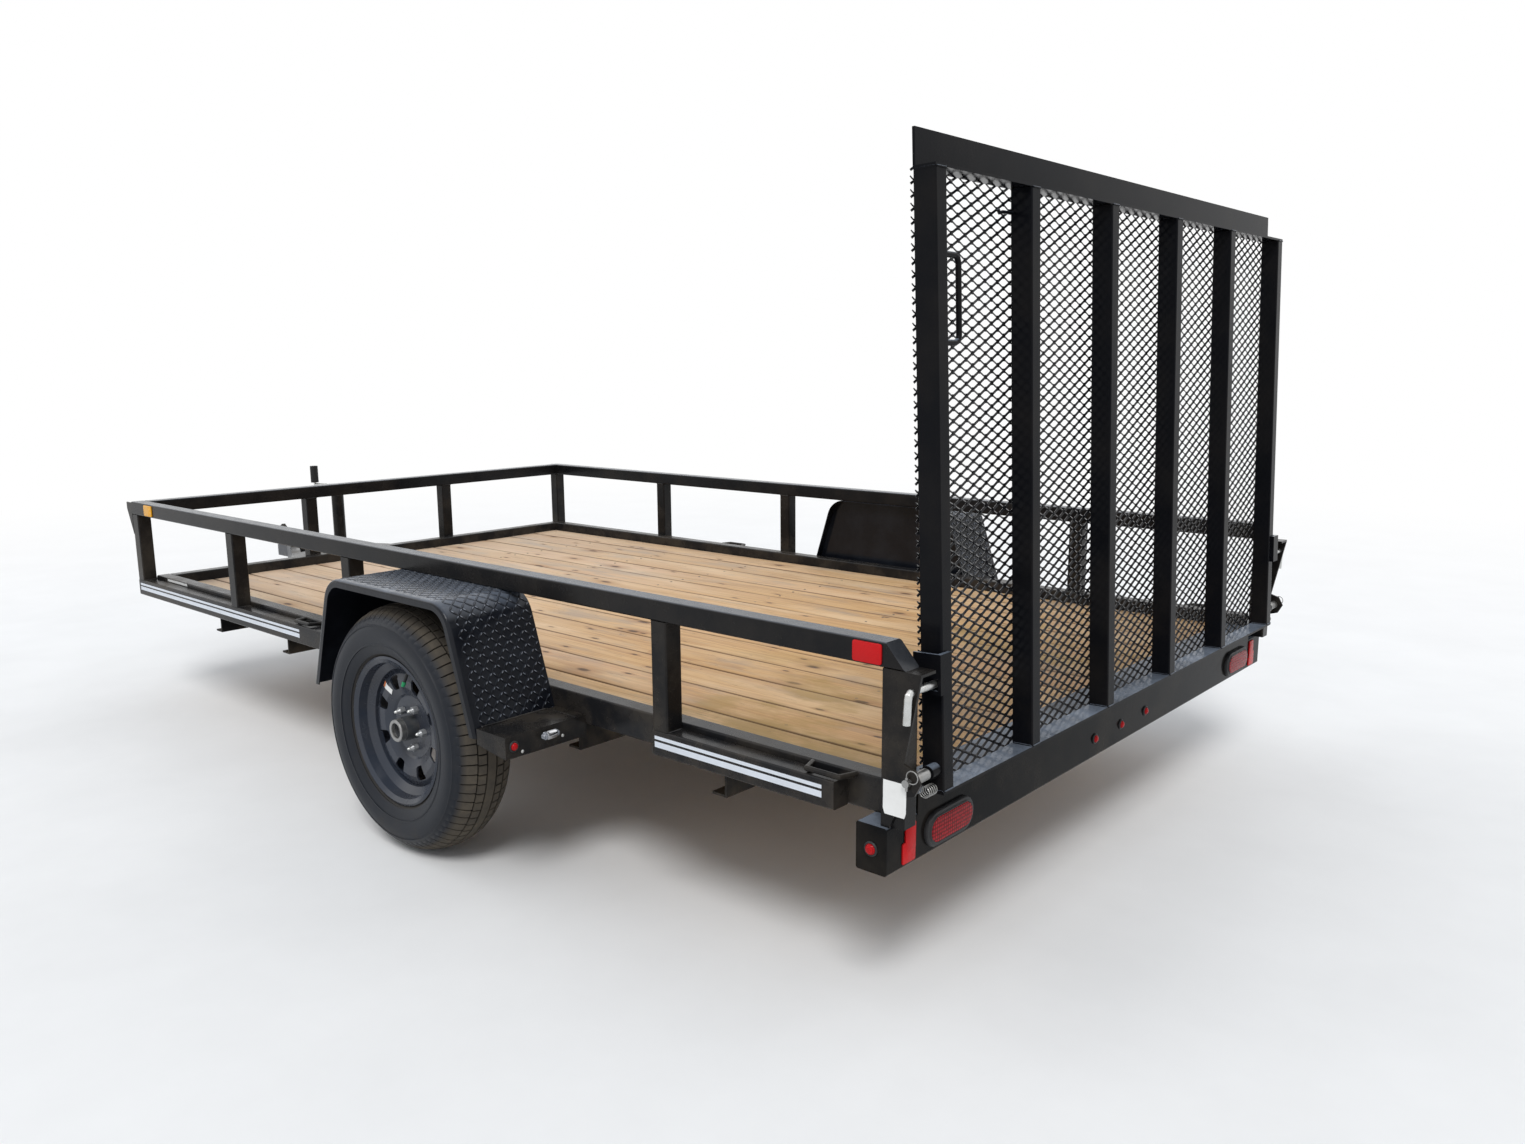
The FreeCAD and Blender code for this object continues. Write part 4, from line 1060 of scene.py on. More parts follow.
@dataclass
class Deck:
    """Softwood boards and their screws.

    Attributes:
        rear: rear ends of the boards.
        front: their front ends.
        low: their underside.
        top: their top face.
        boards: how many there are.
        gap: gap between two boards.
        ease: rounding of their upper edges.
        cross_rear: rear face of the first cross member.
        cross_front: rear face of the last one.
        cross_count: how many cross members there are.
        cross_half: half of the width of a cross member.
        screw_r: radius of a screw head.
        sunk: how far the head's underside lies below the boards.
    """

    rear: float = 78.0
    front: float = 1000.0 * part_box("deck_boards")[1].x + SHIFT
    low: float = 416.0
    top: float = 454.0
    boards: int = BOARD_COUNT
    gap: float = BOARD_GAP
    ease: float = 3.0
    cross_rear: float = 473.0
    cross_front: float = DECK_LENGTH - 605.0
    cross_count: int = 6
    cross_half: float = 20.0
    screw_r: float = 4.6
    sunk: float = 3.2

    def width(self) -> float:
        """Width of one board."""
        return (2 * FRAME_IN - (self.boards + 1) * self.gap) / self.boards

    def edge(self, i: int) -> float:
        """Right-hand edge of a board."""
        return -FRAME_IN + self.gap + i * (self.width() + self.gap)

    def planks(self) -> None:
        """Boards with eased edges, each a little higher or lower and slightly cupped."""
        chance = random.Random(7)
        blank = Blank()
        e = self.ease
        stretches = 24
        for i in range(self.boards):
            y0, y1 = self.edge(i) + chance.uniform(-1.0, 0.6), self.edge(i) + self.width()
            drop = chance.uniform(0.0, 1.6)
            cup = chance.uniform(-0.8, 0.8)
            blank.tone = chance.random()
            rings = []
            for k in range(stretches + 1):
                x = self.rear + (self.front - self.rear) * k / stretches
                top = self.top - drop - abs(cup) - 0.35 * (1 + math.sin(k * 0.9 + i * 2.1))
                side = 0.5 * math.sin(k * 0.55 + i * 1.7)
                right, left = y0 + side, y1 + side
                section = [(right, self.low), (left, self.low), (left, top - e),
                           (left - e * 0.35, top - e * 0.3), (left - e, top)]
                section += [(right + (left - right) * m, top + cup * math.sin(math.pi * m))
                            for m in (0.75, 0.5, 0.25)]
                section += [(right + e, top), (right + e * 0.35, top - e * 0.3), (right, top - e)]
                rings.append([(x, y, z) for y, z in section])
            blank.loft(rings)
        blank.piece("deck_planks", PINE, Body.CHASSIS, ["deck_boards"], 50.0, True)

    def screws(self) -> None:
        """Two sunk screw heads a board over every cross member."""
        chance = random.Random(11)
        blank = Blank()
        pitch = (self.cross_front - self.cross_rear) / (self.cross_count - 1)
        r = self.screw_r
        head = [(0, r), (1.4, r), (2.0, r * 0.8), (1.2, r * 0.4), (0.6, 0.2)]
        for i in range(self.boards):
            for k in range(self.cross_count):
                for part in (0.2, 0.8):
                    x = self.cross_rear + self.cross_half + k * pitch + chance.uniform(-6, 6)
                    y = self.edge(i) + self.width() * part + chance.uniform(-5, 5)
                    blank.disc((x, y, self.top - self.sunk), (0, 0, 1), head, 10)
        blank.piece("deck_screws", SCREW, Body.CHASSIS)

    def build(self) -> None:
        """Make the deck."""
        self.planks()
        self.screws()


@dataclass
class RampGate:
    """Expanded mesh, weld beads and small parts of the ramp gate.

    Attributes:
        half: centre line to the mesh's sides.
        frame_half: centre line to the outer uprights' outer faces.
        front: the uprights' front faces, which carry the mesh.
        low: lower edge of the mesh.
        high: upper edge of the mesh.
        diamond: length and height of one diamond.
        strand: width and thickness of a strand.
        tilt: how far the strands are tipped, in degrees.
        stand_off: distance of the strands' middle from the uprights.
        bond: length of the joint between two diamonds.
        bond_swell: how much a joint is higher than a strand, up and down.
        foot_swell: the same for the lowest row.
        pull: how far a strand starts above and below the joints.
        bar: width of an upright.
        uprights: how many there are.
        shift: how far the inner ones stand from an even spacing.
        weld_z: height of the beads at the foot bar and the top angle.
        weld_r: radius of the beads.
        weld_off: distance of their middle from the upright's faces.
        weld_cut: how far they stop short of its corners at the front and elsewhere.
        hook_z: height of the hook.
    """

    half: float = 984.0
    frame_half: float = 982.0
    front: float = -27.0
    low: float = 474.0
    high: float = 1687.0
    diamond: Pair = (50.8, 24.5)
    strand: Pair = (5.2, 2.6)
    tilt: float = 38.0
    stand_off: float = 3.0
    bond: float = 6.0
    bond_swell: float = 2.0
    foot_swell: float = 0.6
    pull: float = 1.4
    bar: float = 38.1
    uprights: int = 6
    shift: float = 20.0
    weld_z: Pair = (478.6, 1681.4)
    weld_r: float = 2.6
    weld_off: float = 0.4
    weld_cut: Pair = (3.0, 2.0)
    hook_z: float = 1633.0

    def upright(self, i: int) -> float:
        """Right-hand face of an upright, counted from the right."""
        pitch = (2 * self.frame_half - self.bar) / (self.uprights - 1)
        return -self.frame_half + i * pitch + (self.shift if 0 < i < self.uprights - 1 else 0.0)

    def section(self, y: float, z: float, swell: float = 0.0) -> list[Point]:
        """Section of a tipped strand.

        Args:
            y: its middle across the gate.
            z: its middle up the gate.
            swell: how much it grows upwards and downwards.

        Returns:
            The four corners, the two front ones first.
        """
        a = math.radians(self.tilt)
        wide, thick = self.strand
        w = Vector((math.sin(a), 0, math.cos(a))) * wide / 2
        t = Vector((math.cos(a), 0, -math.sin(a))) * thick / 2
        p = Vector((self.front + self.stand_off, y, z))
        up = Vector((0, 0, swell))
        return [tuple(p + w + t - up), tuple(p - w + t - up), tuple(p - w - t + up), tuple(p + w - t + up)]

    def trimmed(self, a: Pair, b: Pair) -> list[Pair]:
        """Cut a strand off where it crosses the side of the mesh.

        Args:
            a: Y and Z of its first end.
            b: Y and Z of its second end.

        Returns:
            The two ends that are left, or nothing if it lies outside.
        """
        low, high = sorted((a[0], b[0]))
        if high < -self.half or low > self.half:
            return []
        for limit in (-self.half, self.half):
            if low < limit < high:
                cut = (limit, a[1] + (b[1] - a[1]) * (limit - a[0]) / (b[0] - a[0]))
                return [cut, b] if abs(a[0]) > self.half else [a, cut]
        return [a, b]

    def strands(self) -> None:
        """Diamonds of the expanded mesh, every strand tipped as the slitting press leaves it."""
        blank = Blank()
        long, high = self.diamond
        row = high / 2
        joint = self.bond / 2
        for j in range(round((self.high - self.low) / row)):
            z = self.low + j * row
            first = -self.half + (j % 2) * long / 2 - long
            for i in range(int(2 * self.half / long) + 4):
                y = first + i * long
                for sign in (-1, 1):
                    foot, head = y + sign * joint, y + sign * (long / 2 - joint)
                    ends = self.trimmed((foot, z + self.pull), (head, z + row - self.pull))
                    if ends:
                        blank.loft([self.section(*end) for end in ends])
                if abs(y) < self.half - joint:
                    swell = self.bond_swell if j else self.foot_swell
                    blank.loft([self.section(y - joint, z, swell), self.section(y + joint, z, swell)])
        blank.bent(lean)
        blank.piece("expanded_mesh", MESH_PAINT, Body.GATE, ["gate_mesh_rising", "gate_mesh_falling"], 40.0)

    def welds(self) -> None:
        """Weld beads where the uprights meet the foot bar and the top angle."""
        blank = Blank()
        back, front = self.front - TUBE, self.front
        off, (front_cut, cut) = self.weld_off, self.weld_cut
        for i in range(self.uprights):
            right = self.upright(i)
            left = right + self.bar
            for z in self.weld_z:
                for y in (right - off, left + off):
                    bead(blank, (back + cut, y, z), (front - front_cut, y, z), self.weld_r)
                bead(blank, (back - off, right + cut, z), (back - off, left - cut, z), self.weld_r)
        limit = self.frame_half + 0.6
        blank.bent(lambda p: (p[0], max(-limit, min(limit, p[1])), p[2]))
        blank.bent(lean)
        blank.piece("gate_welds", GATE_PAINT, Body.GATE)

    def hook(self) -> None:
        """Small bent hook on the first upright from the left."""
        blank = Blank()
        x, z = self.front - 6.0, self.hook_z
        y = self.upright(self.uprights - 2) + self.bar
        blank.tube([(x, y - 4, z), (x, y + 44, z - 1), (x, y + 56, z - 4), (x, y + 62, z + 3)], 3.8, 10)
        blank.bent(lean)
        blank.piece("gate_hook", GATE_PAINT, Body.GATE)

    def build(self) -> None:
        """Make the gate's own pieces."""
        self.strands()
        self.welds()
        self.hook()


def bead(blank: Blank, a: Sequence[float], b: Sequence[float], size: float, pitch: float = 4.0) -> None:
    """Rippled weld bead between two points.

    Args:
        blank: the piece that it joins.
        a: start of the bead.
        b: end of the bead.
        size: its radius.
        pitch: length of one ripple.
    """
    start, end = Vector(a), Vector(b)
    count = max(3, int((end - start).length / pitch) * 2)
    path = [start.lerp(end, k / count) for k in range(count + 1)]
    radii = [size * (0.55 if k in (0, count) else 1.0 if k % 2 else 0.78) for k in range(count + 1)]
    blank.tube(path, radii, 6)


@dataclass
class Fender:
    """Tread plate lozenges on a fender.

    Attributes:
        side: the side of the trailer.
        centre: X of the fender's middle.
        low: height of its feet.
        top: height of its top.
        half_low: half of its length at the feet.
        slant: lean of its ends, in degrees.
        bend: radius of its two bends.
        inner: Y of the sheet's inner edge.
        outer: Y of its outer face.
        roll: radius of the rolled outer edge.
        pitch: distance between lozenges of one direction.
        lozenge: length and width of a lozenge.
        rise: its height.
        flat_rise: share of that height which shows on the level top.
        level: upward share of the sheet's direction over which it counts as the top.
        steep: the same share, below which each lozenge carries a pale crest as a painted glint.
        clear: bare sheet between the lozenges and the feet or the inner edge.
    """

    side: Side
    centre: float = 1474.0
    low: float = 415.0
    top: float = 741.2
    half_low: float = 393.0
    slant: float = 18.0
    bend: float = 85.0
    inner: float = FRAME_OUT
    outer: float = 1283.0
    roll: float = 9.0
    pitch: float = 25.0
    lozenge: Pair = (27.0, 7.0)
    rise: float = 2.1
    flat_rise: float = 0.55
    level: float = 0.9
    steep: float = 0.72
    clear: float = 2.0

    def stretches(self) -> Point:
        """Lengths of the sheet's parts.

        Returns:
            Lengths of a leg, of a bend, and of half of the top.
        """
        lean_in = math.radians(self.slant)
        bend = math.radians(90.0 - self.slant)
        cut = self.bend * math.tan(bend / 2)
        leg = (self.top - self.low) / math.cos(lean_in) - cut
        return leg, self.bend * bend, self.half_low - (self.top - self.low) * math.tan(lean_in) - cut

    def length(self) -> float:
        """Length of the sheet from foot to foot."""
        return 2 * sum(self.stretches())

    def outline(self, s: float) -> tuple[float, float, float, float]:
        """A place on the arch.

        Args:
            s: distance from the rear foot along the sheet.

        Returns:
            X, Z and the outward direction's X and Z there.
        """
        leg, arc, flat = self.stretches()
        total = self.length()
        back = s <= total / 2
        d = s if back else total - s
        lean_in = math.radians(self.slant)
        sin, cos = math.sin(lean_in), math.cos(lean_in)
        if d <= leg:
            x, z, nx, nz = -self.half_low + d * sin, self.low + d * cos, -cos, sin
        elif d <= leg + arc:
            turn = math.pi - lean_in - (d - leg) / self.bend
            nx, nz = math.cos(turn), math.sin(turn)
            x, z = -flat + self.bend * nx, self.top - self.bend + self.bend * nz
        else:
            x, z, nx, nz = -flat + (d - leg - arc), self.top, 0.0, 1.0
        return (self.centre + (x if back else -x), z, nx if back else -nx, nz)

    def place(self, s: float, v: float, h: float) -> Point:
        """A point on the sheet, which rolls over at its outer edge.

        Args:
            s: distance from the rear foot along the sheet.
            v: distance from the inner edge.
            h: height over the sheet.

        Returns:
            The point.
        """
        x, z, nx, nz = self.outline(min(max(s, 0.0), self.length()))
        edge = self.outer - self.inner - self.roll
        if v <= edge:
            return (x + nx * h, self.inner + v, z + nz * h)
        turn = min((v - edge) / self.roll, math.pi / 2)
        r = self.roll + h
        y = self.inner + edge + r * math.sin(turn)
        sunk = self.roll - r * math.cos(turn)
        return (x - nx * sunk, min(y, self.outer - 0.05), z - nz * sunk)

    def layer(self, ring: Sequence[Pair], at: Pair, share: float, h: float) -> list[Point]:
        """A lozenge's outline, shrunk towards its middle.

        Args:
            ring: the outline as places along and across the sheet.
            at: its middle.
            share: the size that is left.
            h: height over the sheet.

        Returns:
            The outline's points.
        """
        return [self.place(at[0] + (s - at[0]) * share, at[1] + (v - at[1]) * share, h) for s, v in ring]

    def lozenges(self) -> None:
        """Raised lozenges in two crossing directions, with pale crest pieces on the steep parts as painted
        glints.
        """
        plate, crest_glints = Blank(), Blank()
        total = self.length()
        long, narrow = self.lozenge
        step = self.pitch * math.sqrt(0.5)
        rows, cols = int(total / step), int((self.outer - self.inner + 6) / step)
        outline = ((-0.5, 0.0), (-0.28, 0.42), (0.0, 0.5), (0.28, 0.42), (0.5, 0.0), (0.28, -0.42),
                   (0.0, -0.5), (-0.28, -0.42))
        for i in range(1, rows):
            for j in range(1, cols):
                s, v = i * step, j * step - 4.0
                if min(s, total - s) < long / 2 + self.clear or v - long * 0.36 < self.clear:
                    continue
                upward = self.outline(s)[3]
                rise = self.rise * (self.flat_rise if upward > self.level else 1.0)
                turn = math.radians(45.0 if (i + j) % 2 else -45.0)
                ds, dv = math.cos(turn), math.sin(turn)
                ring = [(s + t * long * ds - w * narrow * dv, v + t * long * dv + w * narrow * ds)
                        for t, w in outline]
                plate.loft([self.layer(ring, (s, v), share, h)
                            for share, h in ((1.0, -0.3), (0.78, rise * 0.72), (0.34, rise))])
                # Painted glint: a pale crest piece on the upper end of each lozenge here.
                if upward < self.steep:
                    up = 0.20 * long * (1 if s < total / 2 else -1)
                    top = [(a + up * ds, b + up * dv) for a, b in ring]
                    glint_layers = ((0.34, rise * 0.7), (0.32, rise + 0.3), (0.16, rise + 0.7))
                    middle = (s + up * ds, v + up * dv)
                    crest_glints.loft([self.layer(top, middle, share, h) for share, h in glint_layers])
        for made, finish, name in ((plate, LOZENGE_PAINT, "tread_plate_"), (crest_glints, PAINTED_GLINT, "tread_crest_glints_")):
            if self.side is Side.RIGHT:
                made.bent(mirror)
            made.piece(name + self.side.name.lower(), finish, Body.CHASSIS, sharp=30.0)

    def build(self) -> None:
        """Make the tread plate."""
        self.lozenges()


@dataclass
class Tyre:
    """Road tyre with a five-rib block tread.

    Attributes:
        side: the side of the trailer.
        centre: middle of the left wheel.
        half: half of the tyre's width.
        bead: radius of the bead.
        pitches: tread blocks round each rib.
        groove: depth of the grooves.
        cross: depth of the cuts across the ribs.
        shoulder: radius at which those cuts run out.
        crown: places across the tread and the radius there.
        quarters: where a pitch's four sections stand, as shares of it.
        lags: how far the blocks of ribs 0 to 3 lag behind, as shares of a pitch.
        other_lag: the same for the inner half of the tread.
    """

    side: Side
    centre: Point = WHEEL
    half: float = 94.0
    bead: float = 206.0
    pitches: int = 76
    groove: float = 8.0
    cross: float = 6.0
    shoulder: float = 313.0
    crown: tuple[Pair, ...] = ((0.0, TYRE_R), (20.0, 343.0), (40.0, 338.6), (56.0, 332.0), (69.0, 323.1),
                               (80.0, 313.0), (89.0, 299.9))
    quarters: tuple[float, ...] = (0.0, 0.84, 0.88, 0.96)
    lags: tuple[float, ...] = (0.0, 0.0, 0.16, 0.0)
    other_lag: float = 0.5

    def top(self, y: float) -> float:
        """Radius of the tread.

        Args:
            y: distance from the middle plane.

        Returns:
            The radius there.
        """
        for (y0, r0), (y1, r1) in zip(self.crown, self.crown[1:]):
            if y <= y1:
                return r0 + (r1 - r0) * (y - y0) / (y1 - y0)
        return self.crown[-1][1]

    def section(self) -> list[tuple[float, float, int]]:
        """Half section from the outer bead to the middle of the tread.

        Returns:
            Y from the middle, radius and rib number; rib 0 is not cut across.
        """
        w = self.half
        foot = [(66.0, self.bead - 6), (68.3, self.bead + 0.5), (70.0, 211.0), (74.5, 216.0), (77.0, 215.4)]
        wall = [(81.0, 222.0), (87.0, 236.0), (88.8, 242.6), (91.6, 243.2), (91.4, 246.4), (90.6, 247.0),
                (w - 0.7, 262.0), (w, 276.0), (w - 1.2, 287.0), (w - 3.6, 294.6)]
        lip = [(w - 2.2, 295.2), (w - 2.8, 298.4), (w - 6.4, 301.0)]
        out = [(y, r, 0) for y, r in foot + wall + lip]
        out += [(y, self.top(y), 3) for y in (86.0, 82.0, 77.0, 71.0, 64.0, 53.0, 42.0)]
        out.append((41.0, self.top(41.0) - self.groove, 0))
        for rib, outer, inner in ((2, 37.0, 17.0), (1, 12.0, 0.0)):
            out += [(outer + 1.0, self.top(outer) - self.groove, 0), (outer, self.top(outer), rib),
                    (inner, self.top(inner), rib)]
            if inner > 0:
                out.append((inner - 1.0, self.top(inner) - self.groove, 0))
        return out

    def cut(self, rib: int, r: float, quarter: int) -> float:
        """Depth of the cut across a rib.

        Args:
            rib: the rib's number; the middle one isn't cut.
            r: radius of the tread there.
            quarter: which of a pitch's four sections it is.

        Returns:
            How far the tread lies below its full radius.
        """
        if rib < 2 or quarter < 2:
            return 0.0
        if rib == 2:
            return self.cross
        return self.cross * min(1.0, max(0.06, (r - self.shoulder) / 8.0))

    def build(self) -> None:
        """Turn the section round the axle, cutting each rib across at every pitch."""
        half = self.section()
        full = half + [(-y, r, rib) for y, r, rib in reversed(half[:-1])]
        cx, cy, cz = self.centre
        rings = []
        for k in range(self.pitches * 4):
            pitch, quarter = divmod(k, 4)
            ring = []
            for y, r, rib in full:
                lag = self.lags[rib] + (self.other_lag if y < 0 and rib > 1 else 0.0)
                a = 2 * math.pi * (pitch + self.quarters[quarter] + lag) / self.pitches
                deep = r - self.cut(rib, r, quarter)
                ring.append((cx + deep * math.cos(a), cy + y, cz + deep * math.sin(a)))
            rings.append(ring)
        blank = Blank()
        blank.loft(rings, closed=True)
        if self.side is Side.RIGHT:
            blank.bent(mirror)
        name = self.side.name.lower()
        blank.piece("road_tyre_" + name, TYRE, self.side.wheel, ["tyre_" + name], 32.0)


@dataclass
class WheelTrim:
    """Studs, hub ring, valve and blank label of a wheel.

    Attributes:
        side: the side of the trailer.
        centre: middle of the left wheel.
        stud_circle: radius of the circle of studs.
        stud_turn: where the first stud is, in degrees from the front.
        stud_r: radius of a stud.
        valve_turn: where the valve is, in degrees from the front.
        label_at: X and Z of the label from the axle.
        label_size: length and height of the label.
        label_slope: slope of the label, in degrees.
        crest: radius and outer face of the ridge round the rim's disc.
    """

    side: Side
    centre: Point = WHEEL
    stud_circle: float = 57.15
    stud_turn: float = 41.5
    stud_r: float = 4.4
    valve_turn: float = 101.0
    label_at: Pair = (88.0, 98.0)
    label_size: Pair = (44.0, 17.0)
    label_slope: float = 26.0
    crest: Pair = (136.9, 33.0)

    def at(self, turn: float, r: float, y: float) -> Point:
        """A place on the wheel.

        Args:
            turn: angle in degrees from the front.
            r: distance from the axle.
            y: distance from the middle plane.

        Returns:
            The point.
        """
        a = math.radians(turn)
        return (self.centre[0] + r * math.cos(a), self.centre[1] + y, self.centre[2] + r * math.sin(a))

    def studs(self) -> None:
        """Threaded ends of the five studs."""
        blank = Blank()
        for i in range(5):
            profile = [(0.0, self.stud_r)]
            for k in range(4):
                profile += [(1.2 + k * 1.7, self.stud_r), (2.0 + k * 1.7, self.stud_r - 0.7)]
            profile.append((8.4, self.stud_r - 1.4))
            blank.disc(self.at(self.stud_turn + 72 * i, self.stud_circle, 34.0), (0, 1, 0), profile, 12)
        self.finish(blank, "wheel_studs", ZINC)

    def hub_ring(self) -> None:
        """Plated sleeve on the end of the hub's barrel."""
        blank = Blank()
        sleeve = ((50.6, 31.2), (66.8, 31.2), (68.6, 29.6), (68.6, 22.6), (67.2, 20.8), (58.8, 20.4))
        blank.loft([[self.at(9.0 * k, r, y) for y, r in sleeve] for k in range(40)], closed=True)
        blank.disc((self.centre[0], self.centre[1] + 46.0, self.centre[2]), (0, 1, 0),
                   [(0, 18.3), (4.0, 18.3), (5.0, 16.5), (5.0, 6.0), (8.0, 5.0), (8.4, 1.0)], 18)
        self.finish(blank, "hub_ring", DULL_ZINC)

    def valve(self) -> None:
        """Rubber valve with its cap."""
        blank = Blank()
        foot = Vector(self.at(self.valve_turn, 174.0, 37.0))
        out = (Vector(self.at(self.valve_turn, 128.0, 53.0)) - foot).normalized()
        blank.disc(tuple(foot), tuple(out), [(0, 8.0), (5, 7.0), (9, 4.6), (35, 4.2), (36, 3.2)], 14)
        self.finish(blank, "valve_stem", GROMMET)
        cap = Blank()
        cap.disc(tuple(foot + out * 35.0), tuple(out), [(0, 5.6), (11, 5.6), (13, 4.4), (13.8, 1.5)], 14)
        self.finish(cap, "valve_cap", VALVE_CAP)

    def disc_y(self, r: float) -> float:
        """Outer face of the rim's disc at a radius, from the middle plane."""
        off = r - self.crest[0]
        return self.crest[1] - (0.272 * off if off > 0 else -0.09 * off)

    def on_disc(self, along: float, across: float) -> Point:
        """A place on the label as it follows the disc.

        Args:
            along: distance from the label's middle along it.
            across: distance from its middle across it.

        Returns:
            The point.
        """
        slope = math.radians(self.label_slope)
        x = self.label_at[0] - along * math.cos(slope) - across * math.sin(slope)
        z = self.label_at[1] - along * math.sin(slope) + across * math.cos(slope)
        y = self.disc_y(math.hypot(x, z)) + 0.5
        return (self.centre[0] + x, self.centre[1] + y, self.centre[2] + z)

    def label(self) -> None:
        """Blank paper label with a coloured end, stuck to the disc."""
        rows, cols = 4, 8
        long, high = self.label_size
        for name, finish, first, last in (("wheel_label", LABEL, -0.28, 0.5),
                                          ("label_band", LABEL_END, -0.5, -0.28)):
            blank = Blank()
            blank.sheet([[self.on_disc(long * (first + (last - first) * j / cols), high * (i / rows - 0.5))
                          for j in range(cols + 1)] for i in range(rows + 1)])
            self.finish(blank, name, finish)

    def finish(self, blank: Blank, name: str, finish: Finish) -> None:
        """Put a left-hand piece on this wheel's side.

        Args:
            blank: the piece, made for the left wheel.
            name: its name without the side.
            finish: its finish.
        """
        if self.side is Side.RIGHT:
            blank.bent(mirror)
        blank.piece(name + "_" + self.side.name.lower(), finish, self.side.wheel)

    def build(self) -> None:
        """Make the wheel's small parts."""
        self.studs()
        self.hub_ring()
        self.valve()
        self.label()


@dataclass
class Lamps:
    """Tail lamps, markers, plate lamp and reflectors.

    Attributes:
        back: rear face of the header.
        mid_z: height of the lamps on the header.
        middle_pitch: distance between the three markers in the header's middle.
        end_x: X of the markers on the header's ends.
        half: centre line to the header's ends.
        tail_y: Y of a tail lamp's middle.
        tail_flat: half of a tail lamp's straight edge.
        tail_r: radius of its ends.
        box_back: rear face of the lamp boxes.
        box_lamp: Y and Z of the markers on the lamp boxes.
        plate_at: Y and Z of the plate lamp.
        box_screws: Y and Z of the screws beside the plate lamp.
        rail_z: height of the reflectors on the top rails.
        rail_plate: length and height of those reflectors.
        red_x: X of the red ones.
        amber_x: X of the amber ones.
    """

    back: float = -15.0
    mid_z: float = 365.0
    middle_pitch: float = 157.0
    end_x: float = 23.0
    half: float = 1085.0
    tail_y: float = 860.0
    tail_flat: float = 53.0
    tail_r: float = 28.5
    box_back: float = 965.0
    box_lamp: Pair = (1253.0, 415.0)
    plate_at: Pair = (1150.0, 422.0)
    box_screws: tuple[Pair, ...] = ((1103.0, 405.0), (1228.0, 396.0))
    rail_z: float = 766.6
    rail_plate: Pair = (70.0, 42.0)
    red_x: float = 43.0
    amber_x: float = DECK_LENGTH - 162.0

    def oval(self, r: float, x: float) -> list[Point]:
        """Outline of the left tail lamp.

        Args:
            r: radius of its ends.
            x: the plane that it lies in.

        Returns:
            The outline's points.
        """
        ring = []
        for sign, start in ((1, -90.0), (-1, 90.0)):
            for k in range(13):
                a = math.radians(start + 15.0 * k)
                ring.append((x, self.tail_y + sign * self.tail_flat + r * math.cos(a),
                             self.mid_z + r * math.sin(a)))
        return ring

    def tail_lamps(self) -> None:
        """Oval lenses with rows of beads, in rubber grommets."""
        lens, rubber = Blank(), Blank()
        y, z, x, r = self.tail_y, self.mid_z, self.back, self.tail_r
        face = ((0.4, 4.0), (0.4, 11.0), (2.4, 13.4), (6.0, 13.9))
        lens.loft([self.oval(r - less, x - h) for less, h in face])
        for i in range(-4, 5):
            for j in (-1, 0, 1):
                if abs(i) == 4 and j:
                    continue
                at = (x - 13.2, y + i * 15.4, z + j * 15.0)
                lens.disc(at, (-1, 0, 0), [(0, 5.6), (0.5, 5.2), (0.8, 3.4), (0.9, 0.8)], 10)
        lip = ((10.5, 0.0), (10.5, 6.0), (8.5, 9.0), (3.5, 9.6), (1.0, 12.4), (-0.6, 12.4), (-0.6, 0.0))
        rubber.loft([self.oval(r + more, x - h) for more, h in lip], closed=True)
        lens.mirrored()
        rubber.mirrored()
        lens.piece("tail_lenses", RED_LENS, Body.CHASSIS, ["tail_lamps"])
        rubber.piece("tail_grommets", GROMMET, Body.CHASSIS)

    def markers(self) -> None:
        """Round markers with domed lenses in black rings."""
        lens, ring = Blank(), Blank()
        box_y, box_z = self.box_lamp
        spots = [((self.back, k * self.middle_pitch, self.mid_z), (-1, 0, 0), 14.0) for k in (-1, 0, 1)]
        spots += [((self.end_x, s * self.half, self.mid_z), (0, s, 0), 16.0) for s in (1, -1)]
        spots += [((self.box_back, s * box_y, box_z), (-1, 0, 0), 14.0) for s in (1, -1)]
        for at, axis, r in spots:
            dome = [(0.5, r - 4), (3.2, r - 4), (6.0, r - 5.2), (8.2, r - 7.6), (9.4, r - 11), (9.7, 0.6)]
            lens.disc(at, axis, dome, 20)
            foot = Vector(at)
            out = Vector(axis)
            side = out.orthogonal().normalized()
            other = out.cross(side)
            profile = ((0.0, r), (2.2, r), (4.2, r - 1.8), (4.0, r - 3.6), (0.0, r - 3.6))
            rings = []
            corners = 28
            for t in (2 * math.pi * k / corners for k in range(corners)):
                away = side * math.cos(t) + other * math.sin(t)
                rings.append([tuple(foot + out * h + away * q) for h, q in profile])
            ring.loft(rings, closed=True)
        lens.piece("marker_lenses", MARKER_LENS, Body.CHASSIS, ["clearance_lamps"])
        ring.piece("marker_rings", GROMMET, Body.CHASSIS)

